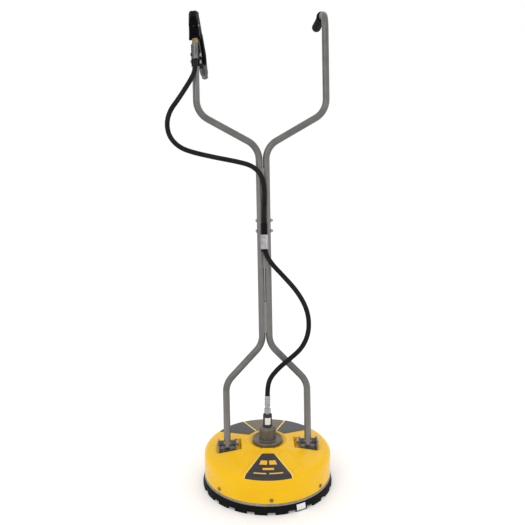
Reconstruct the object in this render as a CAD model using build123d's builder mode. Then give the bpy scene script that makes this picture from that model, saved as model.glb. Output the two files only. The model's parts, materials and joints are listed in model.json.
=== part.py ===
"""Dual-handle rotary surface cleaner: a round floor deck, a rotary spray arm and a trigger gun.

Millimetres, +Z up. The origin is on the floor, on the axis of the rotary swivel. The operator
stands on the +Y side, so the front panel faces -Y and the handle leans towards +Y.
"""

import math
import os

from build123d import *

os.makedirs("parts", exist_ok=True)

# ---------------------------------------------------------------- driving dimensions: deck
WALL_R = 204.5  # outer radius of the deck's upright wall
WALL_T = 3.5  # thickness of the moulded deck
WALL_BOTTOM = 36.0
CORNER_Z = 122.0  # where the wall and the cone would meet
CONE_TOP_R = 52.0
CONE_TOP_Z = 147.0
CONE_RISE_R = 62.0
CONE_RISE_Z = 151.5  # the cone runs from here out to the shoulder
SHOULDER_R = 21.0  # rounding between the wall and the cone
SKIRT_R = 211.0
SKIRT_TOP = 58.0
SKIRT_GAP = 0.5  # between the skirt and the inside of the wall
NOTCH_COUNT = 20
NOTCH_W = 25.0
NOTCH_H = 10.0
SCREW_COUNT = 7
SCREW_Z = 50.0
PAD_Z = 128.0  # flat pads that carry the handle brackets
PAD_X = 82.0
PAD_Y = 70.0
PAD_CENTRE_X = 126.0

# ---------------------------------------------------------------- driving dimensions: swivel
FLANGE_R = 49.0
FLANGE_BOTTOM = 147.0
FLANGE_TOP = 159.0
FLANGE_BOLT_R = 38.0
FLANGE_BOLT_COUNT = 4
BOLT_R = 3.0
BOLT_HOLE_R = 3.3  # clearance holes for the M6 bolts
SCREW_HOLE_R = 3.1
DRUM_R = 27.3
DRUM_TOP = 203.0
DRUM_CEILING = DRUM_TOP - 8  # top of the swivel's hollow
COLLAR_R = 14.5
COLLAR_TOP = 246.0
SHAFT_R = 10.0
SHAFT_BORE_R = 4.0
RUNNING_GAP = 0.05
BEARING_R = 21.0
BEARING_H = 12.0
BEARING_SPLIT_R = 15.0
BEARING_SPLIT_GAP = 0.6

# ---------------------------------------------------------------- driving dimensions: spray arm
HUB_Z = 84.0
HUB_HALF = 23.0
ARM_R = 7.0
ARM_REACH = 158.0
ARM_DROP = 22.0
NOZZLE_TILT = 20.0

# ---------------------------------------------------------------- driving dimensions: handle
LEAN = 17.0  # degrees back from upright
PIVOT_Y = -10.0
PIVOT_Z = 148.0
PIVOT_X = 130.5
PIN_R = 6.0
TUBE_R = 11.0
TUBE_BORE_R = 9.4
PAIR_X = 11.35  # half the distance between the paired tubes
GRIP_X = 206.0
BEND_R = 68.0
HOOK_R = 47.0
S_LOWER_BEND = 195.0
S_LOWER_JOIN = 319.0
S_SPLICE = 733.0
S_UPPER_JOIN = 948.0
S_UPPER_BEND = 1057.0
S_TOP = 1373.0
S_GUN_TUBE_END = 1267.0
S_CRADLE = 1203.0
CRADLE_R = 13.2
CRADLE_BOLT_S = (1218.0, 1240.0)
HOOK_INWARD = 1.5  # degrees the grip turns in towards the middle
HOOK_DROP = 3.0  # degrees the grip points further down than square to the tube
GRIP_LENGTH = 138.0
GRIP_R = 15.0

# ---------------------------------------------------------------- driving dimensions: gun, hose
GUN_PITCH = 25.0  # degrees the barrel points down
GUN_ROLL = 7.0  # degrees the pistol grip leans inwards
OUTLET_S = 1290.0
OUTLET_D = 28.0
BARREL_REACH = 36.0
GUN_HALF = 15.5
HOSE_R = 7.75
CLIP_TOP_S = 670.0
CLIP_BOTTOM_S = 624.0
HOSE_CLIP_D = 21.0
HOSE_JOIN_S = 690.0  # the two lengths of hose meet inside the clip's sleeve
FERRULE_R = 9.0

sin_lean = math.sin(math.radians(LEAN))
cos_lean = math.cos(math.radians(LEAN))
ALONG = Vector(0, sin_lean, cos_lean)
FORWARD = Vector(0, -cos_lean, sin_lean)


def on_handle(x, s, d=0.0):
    """A point x across, s up along the handle from its pivots and d in front of the tubes."""
    return Vector(x, PIVOT_Y, PIVOT_Z) + ALONG * s + FORWARD * d


def handle_section(x, s, d=0.0):
    """A plane square to the handle's length."""
    return Plane(origin=on_handle(x, s, d), x_dir=(1, 0, 0), z_dir=ALONG)


def across(x, s, d=0.0):
    """A plane whose normal runs across the machine, along +X."""
    return Plane(origin=on_handle(x, s, d), x_dir=ALONG, z_dir=(1, 0, 0))


def ring(radius, bore, z0, z1):
    """An upright ring on the swivel axis."""
    with BuildPart() as piece:
        with BuildSketch(Plane.XY.offset(z0)):
            Circle(radius)
            Circle(bore, mode=Mode.SUBTRACT)
        extrude(amount=z1 - z0)
    return piece.part


def tube_along(path, outer, inner):
    """A round tube swept along a path, hollow when inner is above zero."""
    with BuildPart() as piece:
        with BuildSketch(Plane(origin=path @ 0, z_dir=path % 0)):
            Circle(outer)
            if inner > 0:
                Circle(inner, mode=Mode.SUBTRACT)
        sweep(path=path)
    return piece.part


def rod(start, end, radius, bore=0.0):
    """A straight round bar or tube between two points."""
    start = Vector(*start)
    end = Vector(*end)
    with BuildPart() as piece:
        with BuildSketch(Plane(origin=start, z_dir=end - start)):
            Circle(radius)
            if bore > 0:
                Circle(bore, mode=Mode.SUBTRACT)
        extrude(amount=(end - start).length)
    return piece.part


def hex_bar(start, end, flats, bore=0.0):
    """A hexagonal bar between two points, measured across its flats."""
    start = Vector(*start)
    end = Vector(*end)
    with BuildPart() as piece:
        with BuildSketch(Plane(origin=start, z_dir=end - start)):
            RegularPolygon(flats / 2, 6, major_radius=False)
            if bore > 0:
                Circle(bore, mode=Mode.SUBTRACT)
        extrude(amount=(end - start).length)
    return piece.part


def join(*pieces):
    """Several solids as one piece, fused where they meet."""
    with BuildPart() as whole:
        for piece in pieces:
            add(piece)
    return whole.part


def group(*pieces):
    """Separate solids that share one node."""
    return Compound(children=list(pieces))


def save(shape, name):
    """Label a finished piece and write it as its own STEP file."""
    shape.label = name
    export_step(shape, f"parts/{name}.step")


# ---------------------------------------------------------------- deck profile
cone_slope = (CONE_RISE_Z - CORNER_Z) / (WALL_R - CONE_RISE_R)
cone_angle = math.atan(cone_slope)


def deck_surface(radius, lift=0.0):
    """Height of the deck's cone at a radius, raised by lift square to the cone."""
    return CORNER_Z + (WALL_R - radius) * cone_slope + lift / math.cos(cone_angle)


def deck_solid(shrink, bottom):
    """The full body under the deck's skin, made smaller all round by shrink."""
    wall = WALL_R - shrink
    drop = shrink / math.cos(cone_angle)
    corner = (wall, CORNER_Z + shrink * cone_slope - drop)
    with BuildPart() as body:
        with BuildSketch(Plane.XZ) as half:
            with BuildLine():
                Polyline(
                    (0, bottom),
                    (wall, bottom),
                    corner,
                    (CONE_RISE_R, CONE_RISE_Z - drop),
                    (CONE_TOP_R, CONE_TOP_Z - shrink),
                    (0, CONE_TOP_Z - shrink),
                    close=True,
                )
            make_face()
            shoulder = half.vertices().sort_by_distance((wall, 0, corner[1]))[0]
            fillet(shoulder, SHOULDER_R - shrink)
        revolve(axis=Axis.Z)
        with BuildSketch(Plane.XY.offset(PAD_Z - shrink)):
            with Locations((-PAD_CENTRE_X, PIVOT_Y), (PAD_CENTRE_X, PIVOT_Y)):
                RectangleRounded(PAD_X + 2 * shrink, PAD_Y + 2 * shrink, 10 + shrink)
        extrude(amount=40, mode=Mode.SUBTRACT)
    return body.part


# ---------------------------------------------------------------- deck shell and skirt
BRACKET_HOLES = [(x, y) for x in (-20, 20) for y in (-20, 20)]
bracket_bolt_places = [
    (side * PIVOT_X + x, PIVOT_Y + y) for side in (-1, 1) for x, y in BRACKET_HOLES
]

with BuildPart() as deck_shell:
    add(deck_solid(0, WALL_BOTTOM))
    add(deck_solid(WALL_T, WALL_BOTTOM - 5), mode=Mode.SUBTRACT)
    with BuildSketch(Plane.XY.offset(100)):
        Circle(BEARING_R + 3)
        with Locations(*bracket_bolt_places):
            Circle(BOLT_HOLE_R)
        with PolarLocations(FLANGE_BOLT_R, FLANGE_BOLT_COUNT, start_angle=45):
            Circle(BOLT_HOLE_R)
    extrude(amount=100, mode=Mode.SUBTRACT)
    with Locations((0, 0, SCREW_Z)):
        with PolarLocations(WALL_R - 2, SCREW_COUNT, start_angle=-90):
            Cylinder(SCREW_HOLE_R, 16, rotation=(0, 90, 0), mode=Mode.SUBTRACT)
save(deck_shell.part, "deck_shell")

save(ring(WALL_R + 1.7, WALL_R - WALL_T, 28.0, WALL_BOTTOM), "rim_band")

with BuildPart() as skirt:
    with BuildSketch(Plane.XZ):
        with BuildLine():
            Polyline(
                (WALL_R - WALL_T - 5, SKIRT_TOP),
                (WALL_R - WALL_T - SKIRT_GAP, SKIRT_TOP),
                (WALL_R - WALL_T - SKIRT_GAP, 27.8),
                (WALL_R + 1.5, 27.8),
                (SKIRT_R, 9.0),
                (SKIRT_R, 0.0),
                (SKIRT_R - 6, 0.0),
                (SKIRT_R - 7, 8.0),
                (WALL_R - WALL_T - 5, 24.0),
                close=True,
            )
        make_face()
    revolve(axis=Axis.Z)
    with Locations((0, 0, NOTCH_H / 2 - 1)):
        with PolarLocations(SKIRT_R - 4, NOTCH_COUNT, start_angle=-90):
            Box(30, NOTCH_W, NOTCH_H + 2, mode=Mode.SUBTRACT)
    with Locations((0, 0, SCREW_Z)):
        with PolarLocations(WALL_R - 6, SCREW_COUNT, start_angle=-90):
            Cylinder(SCREW_HOLE_R, 20, rotation=(0, 90, 0), mode=Mode.SUBTRACT)
save(skirt.part, "skirt")

skirt_screws = []
skirt_nuts = []
for index in range(SCREW_COUNT):
    angle = math.radians(-90 + index * 360 / SCREW_COUNT)
    out = Vector(math.cos(angle), math.sin(angle), 0)
    centre = Vector(0, 0, SCREW_Z)
    inner_r = WALL_R - WALL_T - 5
    shank = rod(centre + out * (inner_r - 6), centre + out * (WALL_R + 1), 3.0)
    head = rod(centre + out * (WALL_R + 0.1), centre + out * (WALL_R + 3.2), 6.0)
    skirt_screws.append(join(shank, head))
    nut_start = centre + out * (inner_r - 5.2)
    skirt_nuts.append(hex_bar(nut_start, centre + out * (inner_r - 0.2), 10, 3.0))
save(group(*skirt_screws, *skirt_nuts), "skirt_fasteners")


# ---------------------------------------------------------------- panels on the deck
PANEL_T = 1.2


def cone_layer(thickness):
    """A thin conical sheet that lies on the deck's cone."""
    inner = CONE_RISE_R + 1
    outer = WALL_R - 14
    with BuildPart() as layer:
        with BuildSketch(Plane.XZ):
            with BuildLine():
                Polyline(
                    (inner, deck_surface(inner)),
                    (outer, deck_surface(outer)),
                    (outer, deck_surface(outer, thickness)),
                    (inner, deck_surface(inner, thickness)),
                    close=True,
                )
            make_face()
        revolve(axis=Axis.Z)
    return layer.part


def panel(corners, thickness):
    """A flat-sided panel cut from the conical sheet, with its corners given in plan."""
    with BuildPart() as piece:
        add(cone_layer(thickness))
        with BuildSketch(Plane.XY.offset(80)):
            with BuildLine():
                Polyline(*corners, close=True)
            make_face()
        extrude(amount=120, mode=Mode.INTERSECT)
    return piece.part


FRONT_PANEL_TURN = -2.6  # degrees the front panel is turned about the swivel
front_panel = panel([(-19, -88), (19, -88), (76, -196), (-76, -196)], PANEL_T)
save(front_panel.rotate(Axis.Z, FRONT_PANEL_TURN), "front_panel")
back_side = [(-36, 62), (-76, 186), (-118, 160), (-152, 112), (-57, 38)]
mirrored_side = [(-x, y) for x, y in back_side]
save(group(panel(back_side, PANEL_T), panel(mirrored_side, PANEL_T)), "back_side_panels")
save(panel([(-31, 64), (31, 64), (70, 190), (-70, 190)], 0.8), "back_panel_centre")

# ---------------------------------------------------------------- swivel
with BuildPart() as swivel_housing:
    with BuildSketch(Plane.XZ):
        with BuildLine():
            Polyline(
                (0, FLANGE_BOTTOM + 1.5),
                (FLANGE_R, FLANGE_BOTTOM + 1.5),
                (FLANGE_R, FLANGE_TOP - 2),
                (FLANGE_R - 2, FLANGE_TOP),
                (FLANGE_R - 7, FLANGE_TOP),
                (FLANGE_R - 9, FLANGE_TOP - 2),
                (DRUM_R + 2, FLANGE_TOP - 2),
                (DRUM_R, FLANGE_TOP),
                (DRUM_R, DRUM_TOP - 7),
                (DRUM_R - 5, DRUM_TOP),
                (0, DRUM_TOP),
                close=True,
            )
        make_face()
    revolve(axis=Axis.Z)
    with BuildSketch(Plane.XY.offset(FLANGE_BOTTOM)):
        Circle(BEARING_R)
    extrude(amount=DRUM_CEILING - FLANGE_BOTTOM, mode=Mode.SUBTRACT)
    with BuildSketch(Plane.XY.offset(DRUM_TOP - 9)):
        Circle(6.0)
    extrude(amount=12, mode=Mode.SUBTRACT)
    with BuildSketch(Plane.XY.offset(FLANGE_BOTTOM)):
        with PolarLocations(FLANGE_BOLT_R, FLANGE_BOLT_COUNT, start_angle=45):
            Circle(3.0)
    extrude(amount=8, mode=Mode.SUBTRACT)
save(swivel_housing.part, "swivel_housing")

with BuildPart() as flange_gasket:
    with BuildSketch(Plane.XY.offset(FLANGE_BOTTOM)):
        Circle(FLANGE_R + 0.5)
        Circle(BEARING_R + 3, mode=Mode.SUBTRACT)
        with PolarLocations(FLANGE_BOLT_R, FLANGE_BOLT_COUNT, start_angle=45):
            Circle(BOLT_HOLE_R, mode=Mode.SUBTRACT)
    extrude(amount=1.5)
save(flange_gasket.part, "flange_gasket")

FLANGE_BOLT_XY = FLANGE_BOLT_R * math.sqrt(0.5)
flange_bolts = []
top_of_skin = CONE_TOP_Z - WALL_T
for x in (-FLANGE_BOLT_XY, FLANGE_BOLT_XY):
    for y in (-FLANGE_BOLT_XY, FLANGE_BOLT_XY):
        head = hex_bar((x, y, top_of_skin - 4.1), (x, y, top_of_skin - 0.1), 10)
        shank = rod((x, y, top_of_skin - 1), (x, y, FLANGE_BOTTOM + 7), 2.95)
        flange_bolts.append(join(head, shank))
save(group(*flange_bolts), "flange_bolts")

bearing_levels = (FLANGE_BOTTOM + 1.0, DRUM_CEILING - 14 - BEARING_H)
outer_races = [
    ring(BEARING_R, BEARING_SPLIT_R + BEARING_SPLIT_GAP, z, z + BEARING_H) for z in bearing_levels
]
inner_races = [
    ring(BEARING_SPLIT_R - BEARING_SPLIT_GAP, SHAFT_R, z, z + BEARING_H) for z in bearing_levels
]
save(group(*outer_races), "bearing_outer_races")
save(group(*inner_races), "bearing_inner_races")
save(ring(BEARING_R, SHAFT_R + RUNNING_GAP, DRUM_CEILING - 12, DRUM_CEILING - 1), "pressure_seal")
save(ring(BEARING_R + 2.6, SHAFT_R + 0.8, 140.0, FLANGE_BOTTOM - 1.0), "dust_seal")

with BuildPart() as inlet_collar:
    with BuildSketch(Plane.XZ):
        with BuildLine():
            Polyline(
                (6.5, DRUM_TOP),
                (COLLAR_R + 1.0, DRUM_TOP),
                (COLLAR_R + 1.0, DRUM_TOP + 3),
                (COLLAR_R, DRUM_TOP + 4),
                (COLLAR_R, COLLAR_TOP - 4),
                (COLLAR_R - 3, COLLAR_TOP),
                (9.5, COLLAR_TOP),
                (9.5, COLLAR_TOP - 3),
                (6.5, COLLAR_TOP - 3),
                close=True,
            )
        make_face()
    revolve(axis=Axis.Z)
save(inlet_collar.part, "inlet_collar")

with BuildPart() as collar_label:
    with BuildSketch(Plane.XY.offset(DRUM_TOP + 9)):
        Circle(COLLAR_R + 0.4)
        Circle(COLLAR_R, mode=Mode.SUBTRACT)
        with Locations((0, -COLLAR_R)):
            Rectangle(18, 12, mode=Mode.INTERSECT)
    extrude(amount=24)
save(collar_label.part, "collar_label")

with BuildPart() as inlet_stem:
    add(rod((0, 0, DRUM_CEILING), (0, 0, COLLAR_TOP + 4), 6.0, SHAFT_BORE_R))
    add(hex_bar((0, 0, COLLAR_TOP + 0.5), (0, 0, COLLAR_TOP + 4), 17, SHAFT_BORE_R))
save(inlet_stem.part, "inlet_stem")

NUT_BOTTOM = COLLAR_TOP + 4
hose_nut = hex_bar((0, 0, NUT_BOTTOM), (0, 0, NUT_BOTTOM + 15), 19, SHAFT_BORE_R)
hose_neck = rod((0, 0, NUT_BOTTOM + 14), (0, 0, NUT_BOTTOM + 22), 6.2, SHAFT_BORE_R)
save(join(hose_nut, hose_neck), "hose_nut_lower")
FERRULE_BOTTOM = NUT_BOTTOM + 22
FERRULE_TOP = FERRULE_BOTTOM + 39


def ferrule(start, direction, length):
    """A crimped hose ferrule with three shallow crimp grooves."""
    start = Vector(*start)
    direction = Vector(*direction).normalized()
    with BuildPart() as piece:
        with BuildSketch(Plane(origin=start, z_dir=direction)):
            Circle(FERRULE_R)
        extrude(amount=length)
        for share in (0.25, 0.5, 0.75):
            groove_start = start + direction * (length * share - 2)
            with BuildSketch(Plane(origin=groove_start, z_dir=direction)):
                Circle(FERRULE_R + 1)
                Circle(FERRULE_R - 0.7, mode=Mode.SUBTRACT)
            extrude(amount=4, mode=Mode.SUBTRACT)
    return piece.part


ferrule_lower = ferrule((0, 0, FERRULE_BOTTOM), (0, 0, 1), FERRULE_TOP - FERRULE_BOTTOM)
save(ferrule_lower, "ferrule_lower")

# ---------------------------------------------------------------- rotary spray arm
SHAFT_TOP = DRUM_CEILING - 0.5
with BuildPart() as rotor_shaft:
    add(rod((0, 0, HUB_Z + 15), (0, 0, SHAFT_TOP), SHAFT_R, SHAFT_BORE_R))
    add(ring(SHAFT_R + 3, SHAFT_R - 1, HUB_Z + 15, 139.0))
save(rotor_shaft.part, "rotor_shaft")

with BuildPart() as rotor_hub:
    with BuildSketch(Plane.XY.offset(HUB_Z - 15)):
        RectangleRounded(2 * HUB_HALF, 36, 5)
    extrude(amount=30)
    chamfer(rotor_hub.faces().filter_by(Axis.Z).edges(), 1.5)
    with BuildSketch(Plane.XY.offset(HUB_Z)):
        Circle(SHAFT_BORE_R)
    extrude(amount=20, mode=Mode.SUBTRACT)
save(rotor_hub.part, "rotor_hub")

spray_arms = []
nozzles = []
for side in (-1, 1):
    with BuildLine() as arm_line:
        FilletPolyline(
            (side * HUB_HALF, 0, HUB_Z),
            (side * (ARM_REACH - 22), 0, HUB_Z),
            (side * (ARM_REACH + 2), 0, HUB_Z - ARM_DROP),
            radius=16,
        )
    spray_arms.append(tube_along(arm_line.line, ARM_R, 4.0))
    tip = arm_line.line @ 1
    heading = arm_line.line % 1
    swing = Vector(0, side * math.sin(math.radians(NOZZLE_TILT)), 0)
    aim = (Vector(0, 0, -1) + Vector(side * 0.35, 0, 0) + swing).normalized()
    block = hex_bar(tip, tip + heading * 14, 20, 4.0)
    turn = tip + heading * 8
    stem = rod(turn, turn + aim * 20, 5.0)
    tip_nut = hex_bar(turn + aim * 18, turn + aim * 26, 9)
    nozzles.append(join(block, stem, tip_nut))
save(group(*spray_arms), "spray_arms")
save(group(*nozzles), "spray_nozzles")
lock_nuts = [
    hex_bar((side * HUB_HALF, 0, HUB_Z), (side * (HUB_HALF + 8), 0, HUB_Z), 19, ARM_R)
    for side in (-1, 1)
]
save(group(*lock_nuts), "arm_lock_nuts")

# ---------------------------------------------------------------- handle brackets and pivots
CHEEK_IN = 26.0
CHEEK_T = 3.0
BRACKET_Y = 60.0
PIVOT_REACH = CHEEK_IN + CHEEK_T
X_WAY = Vector(1, 0, 0)
pivot_bolts = []
pivot_spacers = []
pivot_bushes = []
pivot_nuts = []
backing_plates = []
for side, word in ((-1, "left"), (1, "right")):
    centre = Vector(side * PIVOT_X, PIVOT_Y, PIVOT_Z)
    with BuildPart() as bracket:
        with BuildSketch(Plane.XY.offset(PAD_Z)):
            with Locations((centre.X, centre.Y)):
                Rectangle(2 * PIVOT_REACH, BRACKET_Y)
            with Locations(*[(centre.X + x, centre.Y + y) for x, y in BRACKET_HOLES]):
                Circle(BOLT_HOLE_R, mode=Mode.SUBTRACT)
        extrude(amount=3)
        for inner in (-PIVOT_REACH, CHEEK_IN):
            cheek_plane = Plane(origin=centre + X_WAY * inner, x_dir=(0, 1, 0), z_dir=(1, 0, 0))
            with BuildSketch(cheek_plane):
                Circle(15)
                with Locations((0, PAD_Z - PIVOT_Z + 3)):
                    Rectangle(BRACKET_Y, 6)
                make_hull()
                Circle(PIN_R, mode=Mode.SUBTRACT)
            extrude(amount=CHEEK_T)
    save(bracket.part, f"bracket_{word}")
    outer_face = centre + X_WAY * side * (PIVOT_REACH + 0.1)
    inner_face = centre - X_WAY * side * (PIVOT_REACH + 0.1)
    pivot_bolts.append(
        join(
            rod(inner_face - X_WAY * side * 8, outer_face + X_WAY * side, PIN_R),
            hex_bar(outer_face, outer_face + X_WAY * side * 5, 17),
        )
    )
    pivot_nuts.append(hex_bar(inner_face, inner_face - X_WAY * side * 6, 17, PIN_R))
    for hand in (-1, 1):
        near = centre + X_WAY * hand * (TUBE_R + 0.4)
        pivot_spacers.append(rod(near, centre + X_WAY * hand * CHEEK_IN, 9, PIN_R))
    bush_half = X_WAY * TUBE_R
    pivot_bushes.append(rod(centre - bush_half, centre + bush_half, 8.0, PIN_R + RUNNING_GAP))
    with BuildPart() as plate:
        with BuildSketch(Plane.XY.offset(PAD_Z - WALL_T - 3)):
            with Locations((centre.X, centre.Y)):
                RectangleRounded(58, 58, 4)
            with Locations(*[(centre.X + x, centre.Y + y) for x, y in BRACKET_HOLES]):
                Circle(BOLT_HOLE_R, mode=Mode.SUBTRACT)
        extrude(amount=3)
    backing_plates.append(plate.part)
save(group(*pivot_bolts, *pivot_nuts), "pivot_fasteners")
save(group(*pivot_spacers), "pivot_spacers")
save(group(*pivot_bushes), "pivot_bushes")
save(group(*backing_plates), "backing_plates")

bracket_bolts = []
bracket_nuts = []
plate_bottom = PAD_Z - WALL_T - 3
for x, y in bracket_bolt_places:
    head = rod((x, y, PAD_Z + 3.1), (x, y, PAD_Z + 6.0), 5.2)
    shank = rod((x, y, plate_bottom - 8), (x, y, PAD_Z + 4), BOLT_R)
    bracket_bolts.append(join(head, shank))
    nut_bottom = (x, y, plate_bottom - 5.1)
    bracket_nuts.append(hex_bar(nut_bottom, (x, y, plate_bottom - 0.1), 10, BOLT_R))
save(group(*bracket_bolts, *bracket_nuts), "bracket_fasteners")

# ---------------------------------------------------------------- handle tubes
sleeves = []
SLEEVE_HALF = 60.0
SPLICE_BOLT_S = (S_SPLICE - 18, S_SPLICE - 51)


def with_cross_holes(tube, x, places, radius):
    """A tube with holes drilled across it, along X, at the given distances up the handle."""
    with BuildPart() as piece:
        add(tube)
        for s in places:
            with BuildSketch(across(x - 2 * TUBE_R, s)):
                Circle(radius)
            extrude(amount=4 * TUBE_R, mode=Mode.SUBTRACT)
    return piece.part


for side, word in ((-1, "left"), (1, "right")):
    with BuildLine() as lower_line:
        FilletPolyline(
            on_handle(side * PIVOT_X, -TUBE_R),
            on_handle(side * PIVOT_X, S_LOWER_BEND),
            on_handle(side * PAIR_X, S_LOWER_JOIN),
            on_handle(side * PAIR_X, S_SPLICE),
            radius=BEND_R,
        )
    lower = tube_along(lower_line.line, TUBE_R, TUBE_BORE_R)
    lower = with_cross_holes(lower, side * PIVOT_X, (0,), 8.0)
    lower = with_cross_holes(lower, side * PAIR_X, SPLICE_BOLT_S, SCREW_HOLE_R)
    save(lower, f"lower_tube_{word}")
    upper_points = [
        on_handle(side * PAIR_X, S_SPLICE),
        on_handle(side * PAIR_X, S_UPPER_JOIN),
        on_handle(side * GRIP_X, S_UPPER_BEND),
    ]
    if side < 0:
        upper_points.append(on_handle(-GRIP_X, S_GUN_TUBE_END))
        radii = [BEND_R, BEND_R]
    else:
        upper_points.append(on_handle(GRIP_X, S_TOP))
        inward = math.radians(HOOK_INWARD)
        drop = math.radians(HOOK_DROP)
        reach = HOOK_R + 20 + GRIP_LENGTH
        hook = Vector(-math.sin(inward), 0, 0)
        hook += FORWARD * (-math.cos(inward) * math.cos(drop)) - ALONG * math.sin(drop)
        grip_heading = hook.normalized()
        grip_end = on_handle(GRIP_X, S_TOP) + grip_heading * reach
        upper_points.append(grip_end)
        radii = [BEND_R, BEND_R, HOOK_R]
    with BuildLine() as upper_line:
        FilletPolyline(*upper_points, radius=radii)
    upper = tube_along(upper_line.line, TUBE_R, TUBE_BORE_R)
    if side < 0:
        upper = with_cross_holes(upper, -GRIP_X, CRADLE_BOLT_S, SCREW_HOLE_R)
    save(upper, f"upper_tube_{word}")
    sleeve = rod(
        on_handle(side * PAIR_X, S_SPLICE - SLEEVE_HALF),
        on_handle(side * PAIR_X, S_SPLICE + SLEEVE_HALF),
        TUBE_BORE_R,
        7.5,
    )
    sleeves.append(with_cross_holes(sleeve, side * PAIR_X, SPLICE_BOLT_S, SCREW_HOLE_R))
save(group(*sleeves), "splice_sleeves")

splice_bolts = []
splice_nuts = []
side_reach = PAIR_X + TUBE_R
for s in SPLICE_BOLT_S:
    head = rod(on_handle(-side_reach - 4, s), on_handle(-side_reach - 0.1, s), 5.2)
    shank = rod(on_handle(-side_reach - 2, s), on_handle(side_reach + 8, s), BOLT_R)
    splice_bolts.append(join(head, shank))
    nut_start = on_handle(side_reach + 0.1, s)
    splice_nuts.append(hex_bar(nut_start, on_handle(side_reach + 5.5, s), 10, BOLT_R))
save(group(*splice_bolts, *splice_nuts), "splice_fasteners")


def weld_filler(s0, s1, hand):
    """A filler strip in the groove between the paired tubes, on the front or the back."""
    with BuildPart() as strip:
        with BuildSketch(handle_section(0, s0)):
            with Locations((0, -hand * 7.0)):
                Rectangle(9, 4.0)
            with Locations((-PAIR_X, 0), (PAIR_X, 0)):
                Circle(TUBE_R, mode=Mode.SUBTRACT)
        extrude(amount=s1 - s0)
    return strip.part


WELD_SPANS = ((355, 455), (562, 605), (802, 880))
fillers = [weld_filler(start, end, hand) for start, end in WELD_SPANS for hand in (-1, 1)]
save(group(*fillers), "weld_fillers")

grip_start = grip_end - grip_heading * GRIP_LENGTH
with BuildPart() as grip:
    with BuildSketch(Plane(origin=grip_start, z_dir=grip_heading)):
        Circle(GRIP_R)
        Circle(TUBE_R, mode=Mode.SUBTRACT)
    extrude(amount=GRIP_LENGTH)
    with BuildSketch(Plane(origin=grip_start, z_dir=grip_heading)):
        Circle(GRIP_R + 3)
        Circle(TUBE_R, mode=Mode.SUBTRACT)
    extrude(amount=4)
    with BuildSketch(Plane(origin=grip_end, z_dir=grip_heading)):
        Circle(GRIP_R)
    extrude(amount=5)
    tip_face = grip.faces().sort_by_distance(grip_end + grip_heading * 8)[0]
    fillet(tip_face.edges(), 3)
save(grip.part, "handle_grip")

# ---------------------------------------------------------------- hose clip on the handle
with BuildPart() as hose_clip:
    with BuildSketch(handle_section(0, CLIP_BOTTOM_S)):
        with Locations((0, -HOSE_CLIP_D)):
            Circle(HOSE_R + 4.4)
        with Locations((0, -(HOSE_CLIP_D - 5.25))):
            Rectangle(2 * (HOSE_R + 4.4), 10.5)
        with Locations((0, -HOSE_CLIP_D)):
            Circle(HOSE_R + 2.4, mode=Mode.SUBTRACT)
        with Locations((0, -(HOSE_CLIP_D - 7))):
            Rectangle(2 * (HOSE_R + 2.4), 14.0, mode=Mode.SUBTRACT)
        with Locations((-PAIR_X, 0), (PAIR_X, 0)):
            Circle(TUBE_R, mode=Mode.SUBTRACT)
    extrude(amount=CLIP_TOP_S - CLIP_BOTTOM_S)
save(hose_clip.part, "hose_clip")
sleeve_bottom = on_handle(0, CLIP_BOTTOM_S - 8, HOSE_CLIP_D)
sleeve_top = on_handle(0, CLIP_TOP_S + 36, HOSE_CLIP_D)
save(rod(sleeve_bottom, sleeve_top, HOSE_R + 2.3, HOSE_R), "hose_sleeve")

# ---------------------------------------------------------------- hose
upper_hose = [
    on_handle(-206, 1222, OUTLET_D),
    on_handle(-206, 1188, OUTLET_D),
    on_handle(-224, 1154, OUTLET_D),
    on_handle(-262, 1098, OUTLET_D - 1),
    on_handle(-290, 1062, OUTLET_D - 2),
    on_handle(-301, 1022, OUTLET_D - 3),
    on_handle(-293, 981, OUTLET_D - 3),
    on_handle(-265, 950, OUTLET_D - 3),
    on_handle(-226, 933, OUTLET_D - 2),
    on_handle(-150, 915, OUTLET_D - 2),
    on_handle(-80, 901, OUTLET_D - 3),
    on_handle(-34, 888, OUTLET_D - 4),
    on_handle(-5, 858, OUTLET_D - 5),
    on_handle(4, 815, OUTLET_D - 6),
    on_handle(2, 765, HOSE_CLIP_D),
    on_handle(0, 722, HOSE_CLIP_D),
    on_handle(0, HOSE_JOIN_S, HOSE_CLIP_D),
]
lower_hose = [
    on_handle(0, HOSE_JOIN_S, HOSE_CLIP_D),
    on_handle(0, 652, HOSE_CLIP_D),
    on_handle(0.5, 616, HOSE_CLIP_D),
    Vector(18, 131, 712),
    Vector(58, 112, 672),
    Vector(96, 95, 632),
    Vector(124, 78, 588),
    Vector(136, 62, 545),
    Vector(133, 47, 498),
    Vector(112, 35, 456),
    Vector(75, 25, 426),
    Vector(36, 16, 397),
    Vector(8, 7, 366),
    Vector(0, 0, 336),
    Vector(0, 0, FERRULE_TOP),
]


def route_radii(points):
    """The largest arc that fits at each corner of a hose's route."""
    radii = []
    for before, here, after in zip(points, points[1:], points[2:]):
        first = here - before
        second = after - here
        turn = math.radians(first.get_angle(second))
        shorter = min(first.length, second.length)
        radii.append(0.45 * shorter / math.tan(turn / 2))
    return radii


def hose(points, name):
    """A hose tube along straight runs joined by tangent arcs, with its radii printed."""
    radii = route_radii(points)
    with BuildLine() as route:
        path = FilletPolyline(*points, radius=radii)
    solid = tube_along(route.line, HOSE_R, 0)
    share = solid.volume / (math.pi * HOSE_R**2 * path.length)
    print(name, "radii", [round(radius) for radius in radii])
    print(name, "length", round(path.length), "volume share", round(share, 4))
    save(solid, name)


hose(upper_hose, "hose_upper")
hose(lower_hose, "hose_lower")

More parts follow.
